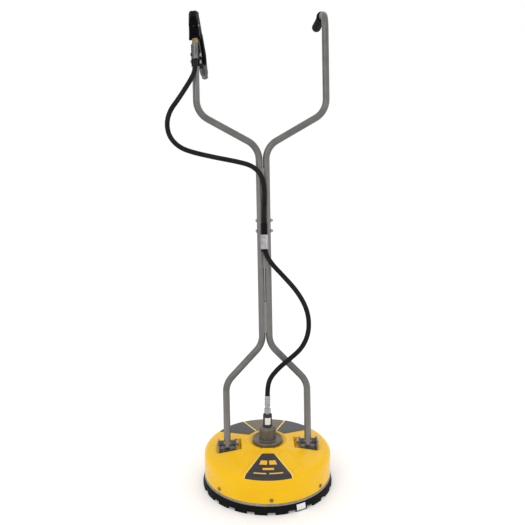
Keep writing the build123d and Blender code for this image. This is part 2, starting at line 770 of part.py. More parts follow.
# ---------------------------------------------------------------- trigger gun
pitch = math.radians(GUN_PITCH)
roll = math.radians(GUN_ROLL)
BARREL = Vector(0, -math.cos(pitch), -math.sin(pitch))
upright = Vector(0, -math.sin(pitch), math.cos(pitch))
GUN_UP = upright * math.cos(roll) - Vector(1, 0, 0) * math.sin(roll)
GUN_SIDE = BARREL.cross(GUN_UP)
outlet_centre = on_handle(-GRIP_X, OUTLET_S, OUTLET_D)
GUN_ORIGIN = outlet_centre - BARREL * BARREL_REACH


def gun_plane(lift=0.0):
    """The gun's own plane: x along the barrel, y up, lifted sideways by lift."""
    return Plane(origin=GUN_ORIGIN + GUN_SIDE * lift, x_dir=BARREL, z_dir=GUN_SIDE)


def gun_point(x, y, lift=0.0):
    """A point in the gun's own frame."""
    return GUN_ORIGIN + BARREL * x + GUN_UP * y + GUN_SIDE * lift


def gun_slab(corners, half_width):
    """A flat-sided piece of the gun, drawn from the side and centred on the gun's plane."""
    with BuildPart() as slab:
        with BuildSketch(gun_plane(-half_width)):
            with BuildLine():
                Polyline(*corners, close=True)
            make_face()
        extrude(amount=2 * half_width)
    return slab.part


GRIP_ROOT = (-52.0, -10.0)
GRIP_ANGLE = math.radians(-100)
GUN_GRIP_LENGTH = 158.0
grip_way = (math.cos(GRIP_ANGLE), math.sin(GRIP_ANGLE))
grip_front = (-grip_way[1], grip_way[0])


def along_grip(distance, front):
    """A point of the gun's plane down the grip from its root and forward of its middle."""
    return (
        GRIP_ROOT[0] + grip_way[0] * distance + grip_front[0] * front,
        GRIP_ROOT[1] + grip_way[1] * distance + grip_front[1] * front,
    )


housing_outline = [
    (-70, 8),
    (-66, 26),
    (-52, 33),
    (12, 33),
    (31, 24),
    (31, -13),
    (24, -18),
    (-20, -18),
    along_grip(14, 18),
    along_grip(60, 16),
    along_grip(110, 17.5),
    along_grip(GUN_GRIP_LENGTH, 16),
    along_grip(GUN_GRIP_LENGTH + 4, -14),
    along_grip(110, -17.5),
    along_grip(50, -16.5),
    along_grip(10, -21),
]
body_cavity = [
    (-60, -10),
    (-60, 22),
    (31, 22),
    (31, -9),
    (-14, -9),
    (-14, -19),
    (-34, -19),
    (-40, -10),
]
grip_cavity = [
    along_grip(-4, 12),
    along_grip(GUN_GRIP_LENGTH + 6, 10),
    along_grip(GUN_GRIP_LENGTH + 6, -10),
    along_grip(-4, -14),
]
trigger_slot = [
    (-40, -9),
    (-12, -9),
    (-12, -24),
    (-28, -24),
    along_grip(18, 22),
    along_grip(36, 20),
    along_grip(36, 10),
    (-46, -20),
]

INNER_HALF = 11.6
HOUSING_SCREWS = ((-58, 27), (18, 27))
hollow = join(
    gun_slab(body_cavity, INNER_HALF),
    gun_slab(grip_cavity, 9.0),
    gun_slab(trigger_slot, 8.0),
)
for hand, word in ((-1, "left"), (1, "right")):
    with BuildPart() as half_shell:
        with BuildSketch(gun_plane()) as side_view:
            with BuildLine():
                Polyline(*housing_outline, close=True)
            make_face()
            fillet(side_view.vertices(), 4)
        extrude(amount=hand * GUN_HALF)
        outer_face = half_shell.faces().sort_by_distance(gun_point(-20, 0, hand * 60))[0]
        fillet(outer_face.edges(), 3)
        add(hollow, mode=Mode.SUBTRACT)
        for spot in (*HOUSING_SCREWS, along_grip(140, 0)):
            with BuildSketch(Plane(origin=gun_point(*spot, -20), z_dir=GUN_SIDE)):
                Circle(1.6)
            extrude(amount=40, mode=Mode.SUBTRACT)
    save(half_shell.part, f"gun_housing_{word}")

gun_screws = []
for spot in HOUSING_SCREWS:
    head = rod(gun_point(*spot, -GUN_HALF - 1.5), gun_point(*spot, -GUN_HALF - 0.1), 3.2)
    shank = rod(gun_point(*spot, -GUN_HALF - 1), gun_point(*spot, GUN_HALF - 2), 1.5)
    gun_screws.append(join(head, shank))
save(group(*gun_screws), "gun_housing_screws")

guard_points = [(4, -19), (6, -45), (9, -74), (4, -112), (-18, -148), along_grip(150, 17.5)]
with BuildPart() as trigger_guard:
    with BuildSketch(gun_plane(-6.5)):
        with BuildLine():
            FilletPolyline(*guard_points, radius=10)
        trace(line_width=7)
    extrude(amount=13)
    add(gun_slab(housing_outline, GUN_HALF + 1), mode=Mode.SUBTRACT)
save(trigger_guard.part, "trigger_guard")

TRIGGER_PIVOT = (-27.0, -12.0)
with BuildPart() as trigger:
    with BuildSketch(gun_plane(-6.5)) as lever:
        with BuildLine():
            Polyline(
                (-32, -1),
                (-21.2, -1),
                (-20, -14),
                (-10, -36),
                (-9, -70),
                (-14, -104),
                (-20, -113),
                (-26, -106),
                (-22, -70),
                (-24, -40),
                (-33, -16),
                close=True,
            )
        make_face()
        fillet(lever.vertices(), 2.5)
    extrude(amount=13)
    with BuildSketch(gun_plane(-20)):
        with Locations(TRIGGER_PIVOT):
            Circle(2.5)
    extrude(amount=40, mode=Mode.SUBTRACT)
save(trigger.part, "trigger")
save(
    rod(gun_point(*TRIGGER_PIVOT, -INNER_HALF), gun_point(*TRIGGER_PIVOT, INNER_HALF), 2.45),
    "trigger_pivot_pin",
)

LATCH_PIVOT = (-17.0, -98.0)
with BuildPart() as safety_latch:
    with BuildSketch(gun_plane(7.0)) as latch_view:
        with Locations(LATCH_PIVOT):
            Circle(4.5)
        with Locations((LATCH_PIVOT[0] + 1, LATCH_PIVOT[1] + 9)):
            Circle(2.5)
        make_hull()
    extrude(amount=2.5)
save(safety_latch.part, "safety_latch")

PIN_Y = -2.0
with BuildPart() as valve_block:
    add(gun_slab([(-13, -8.5), (-13, 21), (28, 21), (28, -8.5)], 11.0))
    add(rod(gun_point(27, 0), gun_point(BARREL_REACH - 6, 0), 8.0))
    with BuildSketch(Plane(origin=gun_point(-14, PIN_Y), z_dir=BARREL)):
        Circle(2.5 + RUNNING_GAP)
    extrude(amount=26, mode=Mode.SUBTRACT)
save(valve_block.part, "valve_block")
save(rod(gun_point(-20.4, PIN_Y), gun_point(4, PIN_Y), 2.5), "valve_pin")
with BuildLine() as supply_line:
    FilletPolyline(
        gun_point(-13, 13),
        gun_point(-44, 13),
        gun_point(*along_grip(26, -4)),
        gun_point(*along_grip(GUN_GRIP_LENGTH + 10, 0)),
        radius=14,
    )
save(tube_along(supply_line.line, 5.0, 3.0), "supply_pipe")

cap_start = gun_point(*along_grip(GUN_GRIP_LENGTH + 4.5, 0))
grip_down = (gun_point(*grip_way) - GUN_ORIGIN).normalized()
INLET_THREAD_R = 10.9
BOOT_LENGTH = 44.0
HEX_END = BOOT_LENGTH + 6
THREAD_END = HEX_END + 14
with BuildPart() as inlet_boot:
    with BuildSketch(Plane(origin=cap_start, x_dir=GUN_SIDE, z_dir=grip_down)):
        RectangleRounded(29, 31, 9)
    boot_end = cap_start + grip_down * BOOT_LENGTH
    with BuildSketch(Plane(origin=boot_end, x_dir=GUN_SIDE, z_dir=grip_down)):
        RectangleRounded(26, 27, 9)
    loft()
    with BuildSketch(Plane(origin=cap_start - grip_down, z_dir=grip_down)):
        Circle(8.0)
    extrude(amount=BOOT_LENGTH + 8, mode=Mode.SUBTRACT)
save(inlet_boot.part, "inlet_boot")
hex_start = cap_start + grip_down * (BOOT_LENGTH + 0.2)
hex_end = cap_start + grip_down * HEX_END
thread_end = cap_start + grip_down * THREAD_END
inlet_body = rod(cap_start + grip_down * 6, hex_start, 8.0, 3.0)
inlet_hex = hex_bar(hex_start, hex_end, 22, 3.0)
inlet_thread = rod(hex_end, thread_end, INLET_THREAD_R, 3.0)
save(join(inlet_body, inlet_hex, inlet_thread), "inlet_connector")
print("inlet thread middle", (hex_end + thread_end) / 2, "axis", grip_down)
print("trigger pivot", gun_point(*TRIGGER_PIVOT), "latch pivot", gun_point(*LATCH_PIVOT, 7))
print("gun side", GUN_SIDE, "barrel", BARREL, "finger gap", gun_point(-2, -72))

with BuildPart() as outlet_elbow:
    add(rod(gun_point(BARREL_REACH - 6, 0), outlet_centre, 8.0))
    with Locations(outlet_centre):
        Sphere(9.0)
    add(rod(outlet_centre, on_handle(-GRIP_X, OUTLET_S - 10, OUTLET_D), 8.0))
    elbow_nut_top = on_handle(-GRIP_X, OUTLET_S - 10, OUTLET_D)
    elbow_nut_bottom = on_handle(-GRIP_X, OUTLET_S - 21, OUTLET_D)
    add(hex_bar(elbow_nut_top, elbow_nut_bottom, 20))
    with BuildSketch(Plane(origin=gun_point(0, 0), z_dir=BARREL)):
        Circle(14)
    extrude(amount=BARREL_REACH - 6, mode=Mode.SUBTRACT)
save(outlet_elbow.part, "outlet_elbow")
save(ferrule(elbow_nut_bottom, -ALONG, 47), "ferrule_upper")

with BuildPart() as gun_cradle:
    with BuildSketch(handle_section(-GRIP_X, S_CRADLE)):
        Circle(CRADLE_R)
    extrude(amount=S_GUN_TUBE_END + 4 - S_CRADLE)
    add(gun_slab([(9, -18), (29, -18), (40, -32), (30, -44), (14, -34)], 9))
    with BuildSketch(handle_section(-GRIP_X, S_CRADLE - 3)):
        Circle(TUBE_R)
    extrude(amount=S_GUN_TUBE_END - S_CRADLE + 3, mode=Mode.SUBTRACT)
    add(gun_slab(housing_outline, GUN_HALF + 4), mode=Mode.SUBTRACT)
    for s in CRADLE_BOLT_S:
        with BuildSketch(across(-GRIP_X - 20, s)):
            Circle(SCREW_HOLE_R)
        extrude(amount=40, mode=Mode.SUBTRACT)
save(gun_cradle.part, "gun_cradle")
cradle_bolts = []
for s in CRADLE_BOLT_S:
    head = rod(on_handle(-GRIP_X - CRADLE_R - 3, s), on_handle(-GRIP_X - CRADLE_R - 0.1, s), 5.0)
    shank = rod(on_handle(-GRIP_X - CRADLE_R - 1, s), on_handle(-GRIP_X + CRADLE_R + 4, s), BOLT_R)
    nut = hex_bar(on_handle(-GRIP_X + CRADLE_R + 0.1, s), on_handle(-GRIP_X + CRADLE_R + 5, s), 10)
    cradle_bolts.append(join(head, shank, nut))
save(group(*cradle_bolts), "cradle_bolts")
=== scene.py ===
"""Looks for the dual-handle rotary surface cleaner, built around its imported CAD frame. Metres, +Z up."""

import json
import math

import bmesh
import bpy
from mathutils import Matrix, Vector


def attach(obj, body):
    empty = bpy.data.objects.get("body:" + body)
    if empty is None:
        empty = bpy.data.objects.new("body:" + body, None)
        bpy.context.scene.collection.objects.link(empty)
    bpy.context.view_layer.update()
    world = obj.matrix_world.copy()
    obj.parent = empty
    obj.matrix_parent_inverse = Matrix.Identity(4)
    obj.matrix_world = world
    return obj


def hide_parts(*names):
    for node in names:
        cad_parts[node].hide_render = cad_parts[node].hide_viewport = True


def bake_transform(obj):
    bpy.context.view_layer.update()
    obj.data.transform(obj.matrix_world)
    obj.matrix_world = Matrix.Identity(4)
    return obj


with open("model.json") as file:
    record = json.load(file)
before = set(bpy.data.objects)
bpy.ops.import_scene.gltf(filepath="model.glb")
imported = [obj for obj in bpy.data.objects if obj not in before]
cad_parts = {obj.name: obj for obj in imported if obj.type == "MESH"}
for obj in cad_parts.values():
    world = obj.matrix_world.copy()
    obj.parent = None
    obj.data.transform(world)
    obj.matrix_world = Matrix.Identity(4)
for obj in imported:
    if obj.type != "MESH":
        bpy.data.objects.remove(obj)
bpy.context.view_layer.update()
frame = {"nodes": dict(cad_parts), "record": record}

# ---------------------------------------------------------------- dimensions shared with the CAD, in metres
LEAN = math.radians(17)
PIVOT = Vector((0, -0.010, 0.148))
ALONG = Vector((0, math.sin(LEAN), math.cos(LEAN)))
FORWARD = Vector((0, -math.cos(LEAN), math.sin(LEAN)))
HOSE_R = 0.00775
WALL_R = 0.2045
SKIRT_R = 0.211
CORNER_Z = 0.122
CONE_TOP_R = 0.062
CONE_TOP_Z = 0.1515
CONE_SLOPE = (CONE_TOP_Z - CORNER_Z) / (WALL_R - CONE_TOP_R)
GRIP_X = 0.206
S_TOP = 1.373
HOOK_REACH = 0.205
HOOK_INWARD = math.radians(1.5)
HOOK_DROP = math.radians(3)
GRIP_LENGTH = 0.138


def on_handle(x, s, d=0.0):
    """A point x across, s up along the handle from its pivots and d in front of the tubes."""
    return PIVOT + Vector((x, 0, 0)) + ALONG * s + FORWARD * d


# ---------------------------------------------------------------- camera
TARGET = Vector((0, 0, 0.650))
DISTANCE = 3.072
PITCH = math.radians(20.5)
YAW = math.radians(3.5)

camera_data = bpy.data.cameras.new("camera")
camera_data.sensor_width = 36.0
camera_data.lens = 68.57
camera_data.shift_x = -0.0095
camera_data.shift_y = 0.063
camera_data.dof.use_dof = False
camera = bpy.data.objects.new("camera", camera_data)
sight = Vector((math.sin(YAW) * math.cos(PITCH), math.cos(YAW) * math.cos(PITCH), -math.sin(PITCH)))
camera.location = TARGET - sight * DISTANCE
camera.rotation_mode = "QUATERNION"
camera.rotation_quaternion = sight.to_track_quat("-Z", "Y")
bpy.context.scene.collection.objects.link(camera)
bpy.context.scene.camera = camera


# ---------------------------------------------------------------- stage and light
def link(name, data):
    """A new object for some data, in the scene."""
    made = bpy.data.objects.new(name, data)
    bpy.context.scene.collection.objects.link(made)
    return made


def area_light(name, place, aim, size, power):
    """A soft square light at a place, turned towards a point."""
    data = bpy.data.lights.new(name, "AREA")
    data.shape = "SQUARE"
    data.size = size
    data.energy = power
    lamp = link(name, data)
    lamp.location = place
    lamp.rotation_mode = "QUATERNION"
    lamp.rotation_quaternion = (Vector(aim) - Vector(place)).to_track_quat("-Z", "Y")


area_light("key_light", (-1.6, -2.6, 3.2), (0, 0, 0.5), 1.2, 20)
area_light("fill_light", (3.0, -1.4, 1.6), (0, 0, 0.6), 2.0, 6)
area_light("back_light", (0.8, 3.2, 2.6), (0, 0, 0.6), 1.6, 9)

SKY = 1.0
world = bpy.data.worlds.new("studio")
bpy.context.scene.world = world
world.use_nodes = True
world.node_tree.nodes["Background"].inputs["Color"].default_value = (1.0, 1.0, 1.0, 1.0)
world.node_tree.nodes["Background"].inputs["Strength"].default_value = SKY
bpy.context.scene.view_settings.view_transform = "Standard"


# ---------------------------------------------------------------- materials
class Graph:
    """A small helper for writing a material's nodes."""

    def __init__(self, name):
        self.material = bpy.data.materials.new(name)
        self.material.use_nodes = True
        self.tree = self.material.node_tree
        self.shader = self.tree.nodes["Principled BSDF"]
        self.coords = self.tree.nodes.new("ShaderNodeTexCoord")

    def link(self, start, end):
        self.tree.links.new(start, end)

    def mapped(self, scale):
        """Object coordinates, stretched by a scale on each axis."""
        mapping = self.tree.nodes.new("ShaderNodeMapping")
        mapping.inputs["Scale"].default_value = scale
        self.link(self.coords.outputs["Object"], mapping.inputs["Vector"])
        return mapping.outputs["Vector"]

    def noise(self, scale, detail=4.0, roughness=0.55, vector=None):
        node = self.tree.nodes.new("ShaderNodeTexNoise")
        node.inputs["Scale"].default_value = scale
        node.inputs["Detail"].default_value = detail
        node.inputs["Roughness"].default_value = roughness
        self.link(vector or self.coords.outputs["Object"], node.inputs["Vector"])
        return node.outputs["Fac"]

    def cells(self, scale):
        node = self.tree.nodes.new("ShaderNodeTexVoronoi")
        node.inputs["Scale"].default_value = scale
        self.link(self.coords.outputs["Object"], node.inputs["Vector"])
        return node.outputs["Distance"]

    def ramp(self, value, stops):
        """A colour ramp through (position, colour) stops."""
        node = self.tree.nodes.new("ShaderNodeValToRGB")
        elements = node.color_ramp.elements
        for index, (position, colour) in enumerate(stops):
            element = elements[index] if index < 2 else elements.new(position)
            element.position = position
            element.color = (*colour, 1.0)
        self.link(value, node.inputs["Fac"])
        return node.outputs["Color"]

    def spread(self, value, low, high, start=0.3, end=0.7):
        """A value remapped to run from low to high."""
        node = self.tree.nodes.new("ShaderNodeMapRange")
        node.inputs["From Min"].default_value = start
        node.inputs["From Max"].default_value = end
        node.inputs["To Min"].default_value = low
        node.inputs["To Max"].default_value = high
        self.link(value, node.inputs["Value"])
        return node.outputs["Result"]

    def mix(self, factor, first, second):
        node = self.tree.nodes.new("ShaderNodeMix")
        node.data_type = "RGBA"
        self.link(factor, node.inputs["Factor"])
        colours = [socket for socket in node.inputs if socket.type == "RGBA"]
        for socket, source in zip(colours, (first, second)):
            if isinstance(source, tuple):
                socket.default_value = (*source, 1.0)
            else:
                self.link(source, socket)
        return [socket for socket in node.outputs if socket.type == "RGBA"][0]

    def add(self, first, second, share):
        """First plus a share of second."""
        node = self.tree.nodes.new("ShaderNodeMath")
        node.operation = "MULTIPLY_ADD"
        self.link(second, node.inputs[0])
        node.inputs[1].default_value = share
        self.link(first, node.inputs[2])
        return node.outputs["Value"]

    def bump(self, height, depth, strength=1.0):
        """Relief of a depth in metres."""
        node = self.tree.nodes.new("ShaderNodeBump")
        node.inputs["Strength"].default_value = strength
        node.inputs["Distance"].default_value = depth
        self.link(height, node.inputs["Height"])
        self.link(node.outputs["Normal"], self.shader.inputs["Normal"])

    def edges(self, low=0.52, high=0.62):
        """How sharply the surface bulges: 0 on flats, 1 along worn edges."""
        node = self.tree.nodes.new("ShaderNodeNewGeometry")
        return self.spread(node.outputs["Pointiness"], 0.0, 1.0, low, high)

    def set(self, **values):
        """Uniform values on the shader's own sockets, such as Metallic=1.0."""
        for name, value in values.items():
            self.shader.inputs[name.replace("_", " ")].default_value = value

    def colour(self, source):
        self.link(source, self.shader.inputs["Base Color"])

    def rough(self, source):
        self.link(source, self.shader.inputs["Roughness"])


def grained(
    name, dark, light, patch, grain, depth, rough, metallic=0.0, worn=None, specular=0.5
):
    """Patchy colour, a fine surface grain, uneven roughness and, if asked, paler worn edges."""
    g = Graph(name)
    patches = g.noise(patch)
    tint = g.ramp(patches, [(0.3, dark), (0.7, light)])
    if worn:
        tint = g.mix(g.edges(), tint, worn)
    g.colour(tint)
    fine = g.noise(grain, detail=2.0)
    g.rough(g.spread(g.add(patches, fine, 0.5), rough[0], rough[1], 0.4, 1.1))
    g.bump(fine, depth)
    g.set(Metallic=metallic, Specular_IOR_Level=specular)
    return g.material


def yellow_moulding():
    """Glossy moulded plastic: faint flow patches, soft orange peel and fine scuffs."""
    g = Graph("yellow_moulding")
    patches = g.noise(9.0, detail=3.0)
    g.colour(g.ramp(patches, [(0.25, (0.80, 0.445, 0.0004)), (0.75, (0.86, 0.495, 0.0007))]))
    peel = g.noise(420.0, detail=2.0)
    scuffs = g.noise(60.0, detail=8.0, roughness=0.7, vector=g.mapped((1.0, 1.0, 3.0)))
    g.rough(g.spread(scuffs, 0.24, 0.42, 0.35, 0.75))
    g.bump(g.add(peel, patches, 0.4), 0.00025, 0.5)
    g.set(Coat_Weight=0.05, Coat_Roughness=0.14, Specular_IOR_Level=0.18)
    return g.material


def brushed(name, dark, light, stretch, rough=(0.22, 0.42)):
    """Bare or plated metal with fine turning lines."""
    g = Graph(name)
    lines = g.noise(240.0, detail=6.0, vector=g.mapped(stretch))
    patches = g.noise(70.0)
    tint = g.ramp(g.add(patches, lines, 0.5), [(0.45, dark), (0.95, light)])
    g.colour(tint)
    g.rough(g.spread(lines, rough[0], rough[1]))
    g.bump(lines, 0.00008, 0.6)
    g.set(Metallic=1.0)
    return g.material


def wrapped_hose():
    """Rubber hose cover with a slanting cloth imprint, drawn along the tube's own layout."""
    g = Graph("wrapped_hose")
    mapping = g.tree.nodes.new("ShaderNodeMapping")
    mapping.inputs["Rotation"].default_value = (0, 0, math.radians(28))
    g.link(g.coords.outputs["UV"], mapping.inputs["Vector"])
    wave = g.tree.nodes.new("ShaderNodeTexWave")
    wave.inputs["Scale"].default_value = 62.0
    wave.inputs["Distortion"].default_value = 0.6
    wave.inputs["Detail Scale"].default_value = 2.0
    g.link(mapping.outputs["Vector"], wave.inputs["Vector"])
    dust = g.noise(34.0)
    tint = g.add(dust, wave.outputs["Fac"], 0.25)
    g.colour(g.ramp(tint, [(0.4, (0.003, 0.003, 0.0035)), (0.95, (0.014, 0.014, 0.015))]))
    g.rough(g.spread(wave.outputs["Fac"], 0.38, 0.62, 0.0, 1.0))
    g.bump(wave.outputs["Fac"], 0.0004, 0.8)
    g.set(Specular_IOR_Level=0.12)
    return g.material


def cast_grip():
    """Soft black grip rubber with a pebbled skin."""
    g = Graph("grip_rubber")
    pebbles = g.cells(900.0)
    patches = g.noise(40.0)
    g.colour(g.ramp(patches, [(0.3, (0.0022, 0.0022, 0.0026)), (0.75, (0.0055, 0.0055, 0.006))]))
    g.rough(g.spread(patches, 0.42, 0.62))
    g.bump(pebbles, 0.0003, 0.7)
    g.set(Specular_IOR_Level=0.04)
    return g.material


YELLOW = yellow_moulding()
PANEL = grained(
    "panel_vinyl", (0.022, 0.022, 0.027), (0.036, 0.036, 0.043), 16, 1500, 0.0001, (0.34, 0.5),
    specular=0.3,
)
PANEL_BROWN = grained(
    "panel_vinyl_brown", (0.085, 0.062, 0.026), (0.125, 0.095, 0.045), 16, 1500, 0.0001, (0.3, 0.5),
    specular=0.3,
)
RUBBER = grained(
    "moulded_rubber", (0.002, 0.002, 0.0025), (0.006, 0.006, 0.007), 26, 700, 0.0003, (0.5, 0.78),
    specular=0.1,
)
TUBE_PAINT = grained(
    "tube_paint", (0.115, 0.112, 0.106), (0.160, 0.156, 0.148), 30, 900, 0.00012, (0.3, 0.42), 0.5,
    (0.22, 0.21, 0.20), specular=0.35,
)
DARK_CAST = grained(
    "dark_casting", (0.100, 0.086, 0.073), (0.165, 0.145, 0.126), 40, 520, 0.0004, (0.32, 0.5), 0.4,
    (0.27, 0.25, 0.23), specular=0.35
)
BRACKET_PAINT = grained(
    "bracket_paint", (0.070, 0.068, 0.066), (0.115, 0.111, 0.107), 40, 700, 0.0002, (0.3, 0.46), 0.5,
    (0.22, 0.21, 0.20), specular=0.35
)
SPACER_PLASTIC = grained(
    "spacer_plastic", (0.055, 0.055, 0.062), (0.085, 0.085, 0.092), 60, 900, 0.0002, (0.4, 0.55),
    specular=0.3,
)
BLACK_PLASTIC = grained(
    "black_plastic", (0.0012, 0.0012, 0.0015), (0.003, 0.003, 0.0036), 30, 1300, 0.0002, (0.4, 0.56), 0.0,
    (0.006, 0.006, 0.0065), specular=0.03
)
COLLAR_PLASTIC = grained(
    "collar_plastic", (0.018, 0.018, 0.018), (0.034, 0.034, 0.034), 30, 1300, 0.0002, (0.34, 0.5), 0.0,
    (0.060, 0.060, 0.060), specular=0.25
)
GREY_PLASTIC = grained(
    "grey_plastic", (0.036, 0.036, 0.036), (0.054, 0.054, 0.054), 30, 1200, 0.0002, (0.34, 0.52), 0.0,
    (0.085, 0.085, 0.085), specular=0.2
)
TURNED = (1.0, 1.0, 6.0)  # how far the turning lines are squeezed along each axis
PLAIN = (1.0, 1.0, 1.0)
PLATED = brushed("zinc_plate", (0.24, 0.24, 0.245), (0.48, 0.48, 0.49), TURNED)
# A darker copy of the zinc plating for the upper ferrule and the inlet connector beside the gun: painted
# shade.
SHADED_PLATING = brushed("plating_painted_shade", (0.085, 0.085, 0.085), (0.20, 0.20, 0.20), TURNED, (0.3, 0.5))
SCREW_METAL = brushed(
    "yellow_zinc", (0.16, 0.115, 0.055), (0.36, 0.28, 0.17), (1.0, 1.0, 2.0), (0.3, 0.5)
)
BAND = brushed("band_steel", (0.17, 0.165, 0.16), (0.30, 0.295, 0.29), (1.0, 1.0, 12.0), (0.3, 0.5))
BRASS = brushed(
    "machined_brass", (0.36, 0.27, 0.13), (0.62, 0.50, 0.28), (1.0, 1.0, 5.0), (0.22, 0.38)
)
ELBOW_BRASS = brushed(
    "forged_brass", (0.16, 0.115, 0.055), (0.34, 0.26, 0.14), (1.0, 1.0, 3.0), (0.3, 0.48)
)
# A darker copy of the machined brass for the valve block inside the gun housing: painted shade.
SHADED_BRASS = brushed("brass_painted_shade", (0.060, 0.040, 0.014), (0.125, 0.085, 0.034), PLAIN, (0.4, 0.6))
BRONZE = brushed("sintered_bronze", (0.30, 0.17, 0.07), (0.46, 0.29, 0.13), PLAIN, (0.4, 0.6))
LABEL = grained("paper_label", (0.70, 0.70, 0.69), (0.80, 0.80, 0.79), 60, 2500, 0.00005, (0.45, 0.6))
PRINT_YELLOW = grained(
    "printed_yellow", (0.80, 0.40, 0.02), (0.88, 0.46, 0.03), 60, 1500, 0.00005, (0.35, 0.5),
    specular=0.3,
)
# A paler copy of the deck yellow for the raised border and back ridges: painted highlight along their
# crests.
RIDGE_HIGHLIGHT = grained(
    "ridge_painted_highlight", (0.92, 0.66, 0.22), (0.98, 0.76, 0.34), 40, 900, 0.0001, (0.25, 0.4),
    specular=0.4,
)
HOSE_COVER = wrapped_hose()
GRIP_RUBBER = cast_grip()

LOOK_NODES = (
    (YELLOW, ("deck_shell",)),
    (PANEL, ("front_panel", "back_side_panels")),
    (PANEL_BROWN, ("back_panel_centre",)),
    (RUBBER, ("skirt", "pressure_seal", "dust_seal", "flange_gasket", "hose_sleeve")),
    (GRIP_RUBBER, ("handle_grip",)),
    (HOSE_COVER, ("hose_upper", "hose_lower")),
    (TUBE_PAINT, ("lower_tube_left", "lower_tube_right", "upper_tube_left", "upper_tube_right")),
    (TUBE_PAINT, ("weld_fillers",)),
    (DARK_CAST, ("swivel_housing",)),
    (BRACKET_PAINT, ("bracket_left", "bracket_right")),
    (SPACER_PLASTIC, ("pivot_spacers",)),
    (SCREW_METAL, ("skirt_fasteners",)),
    (BAND, ("rim_band",)),
    (BRASS, ("rotor_hub", "spray_nozzles", "valve_pin")),
    (ELBOW_BRASS, ("outlet_elbow",)),
    # The valve block takes the darker brass: painted shade.
    (SHADED_BRASS, ("valve_block",)),
    (BLACK_PLASTIC, ("gun_housing_left", "gun_housing_right", "trigger_guard", "gun_cradle")),
    (COLLAR_PLASTIC, ("inlet_collar",)),
    (GREY_PLASTIC, ("trigger", "safety_latch", "inlet_boot")),
    (LABEL, ("collar_label",)),
    (BRONZE, ("pivot_bushes",)),
    # The upper ferrule and the inlet connector take the darker plating: painted shade.
    (SHADED_PLATING, ("ferrule_upper", "inlet_connector")),
)
NODE_LOOKS = {node: material for material, nodes in LOOK_NODES for node in nodes}


def dress(thing, material):
    """Give every face of a mesh one material."""
    thing.data.materials.clear()
    thing.data.materials.append(material)


for node, cad_object in frame["nodes"].items():
    dress(cad_object, NODE_LOOKS.get(node, PLATED))

record_bodies = frame["record"]["behaviour"]["bodies"]
body_of_node = {node: body for body, nodes in record_bodies.items() for node in nodes}

# ---------------------------------------------------------------- floor
FLOOR_HALF = 60.0
FLOOR_DROP = 0.0005
FLOOR_GLOW = 0.13
floor_mesh = bpy.data.meshes.new("floor")
floor_signs = ((-1, -1), (1, -1), (1, 1), (-1, 1))
floor_corners = [(x * FLOOR_HALF, y * FLOOR_HALF, -FLOOR_DROP) for x, y in floor_signs]
floor_mesh.from_pydata(floor_corners, [], [(0, 1, 2, 3)])
floor = link("floor", floor_mesh)
floor_paper = grained(
    "floor_paper", (0.86, 0.86, 0.86), (0.88, 0.88, 0.88), 2.0, 300, 0.0001, (0.7, 0.9), specular=0.1
)
floor_shader = floor_paper.node_tree.nodes["Principled BSDF"]
floor_shader.inputs["Emission Color"].default_value = (1.0, 1.0, 1.0, 1.0)
floor_shader.inputs["Emission Strength"].default_value = FLOOR_GLOW
dress(floor, floor_paper)


def stand_for(piece, node):
    """The piece takes a CAD node's place: its look and its body."""
    dress(piece, NODE_LOOKS.get(node, PLATED))
    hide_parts(node)
    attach(piece, body_of_node[node])


def mesh_from(name, work):
    """A new mesh from a bmesh, with its faces turned outwards. The bmesh is freed."""
    bmesh.ops.recalc_face_normals(work, faces=work.faces)
    mesh = bpy.data.meshes.new(name)
    work.to_mesh(mesh)
    work.free()
    return mesh


def sharp_shading(mesh, degrees=38):
    """Smooth faces, kept crisp at edges sharper than the angle."""
    mesh.shade_smooth()
    mesh.set_sharp_from_angle(angle=math.radians(degrees))


# ---------------------------------------------------------------- softened copies of hard-edged CAD pieces
WELD = 1e-6  # vertices closer than this are one
FLAT_ANGLE = math.radians(0.05)  # faces this close to one plane are merged
BEVEL_ANGLE = math.radians(32)  # edges sharper than this are rounded


def softened(node, width):
    """A piece that stands for a CAD node: flats are merged, then sharp edges are rounded."""
    mesh = frame["nodes"][node].data.copy()
    work = bmesh.new()
    work.from_mesh(mesh)
    bmesh.ops.remove_doubles(work, verts=work.verts, dist=WELD)
    bmesh.ops.dissolve_limit(
        work, angle_limit=FLAT_ANGLE, verts=work.verts, edges=work.edges,
        use_dissolve_boundaries=False,
    )
    work.to_mesh(mesh)
    work.free()
    piece = link(f"{node}_soft", mesh)
    bevel = piece.modifiers.new("edge_rounding", "BEVEL")
    bevel.width = width
    bevel.segments = 2
    bevel.limit_method = "ANGLE"
    bevel.angle_limit = BEVEL_ANGLE
    bevel.use_clamp_overlap = True
    mesh.shade_smooth()
    weight = piece.modifiers.new("even_shading", "WEIGHTED_NORMAL")
    weight.keep_sharp = False
    stand_for(piece, node)


SOFT_EDGES = {
    "swivel_housing": 0.0010, "inlet_collar": 0.0008,
    "bracket_left": 0.0007, "bracket_right": 0.0007, "hose_clip": 0.0004, "hose_nut_lower": 0.0006,
    "pivot_fasteners": 0.0006, "bracket_fasteners": 0.0006,
    "skirt_fasteners": 0.0006, "splice_fasteners": 0.0006,
    "gun_cradle": 0.0010, "trigger": 0.0010, "trigger_guard": 0.0012, "cradle_bolts": 0.0006,
    "rotor_hub": 0.0008, "arm_lock_nuts": 0.0007,
}
for node, width in SOFT_EDGES.items():
    softened(node, width)


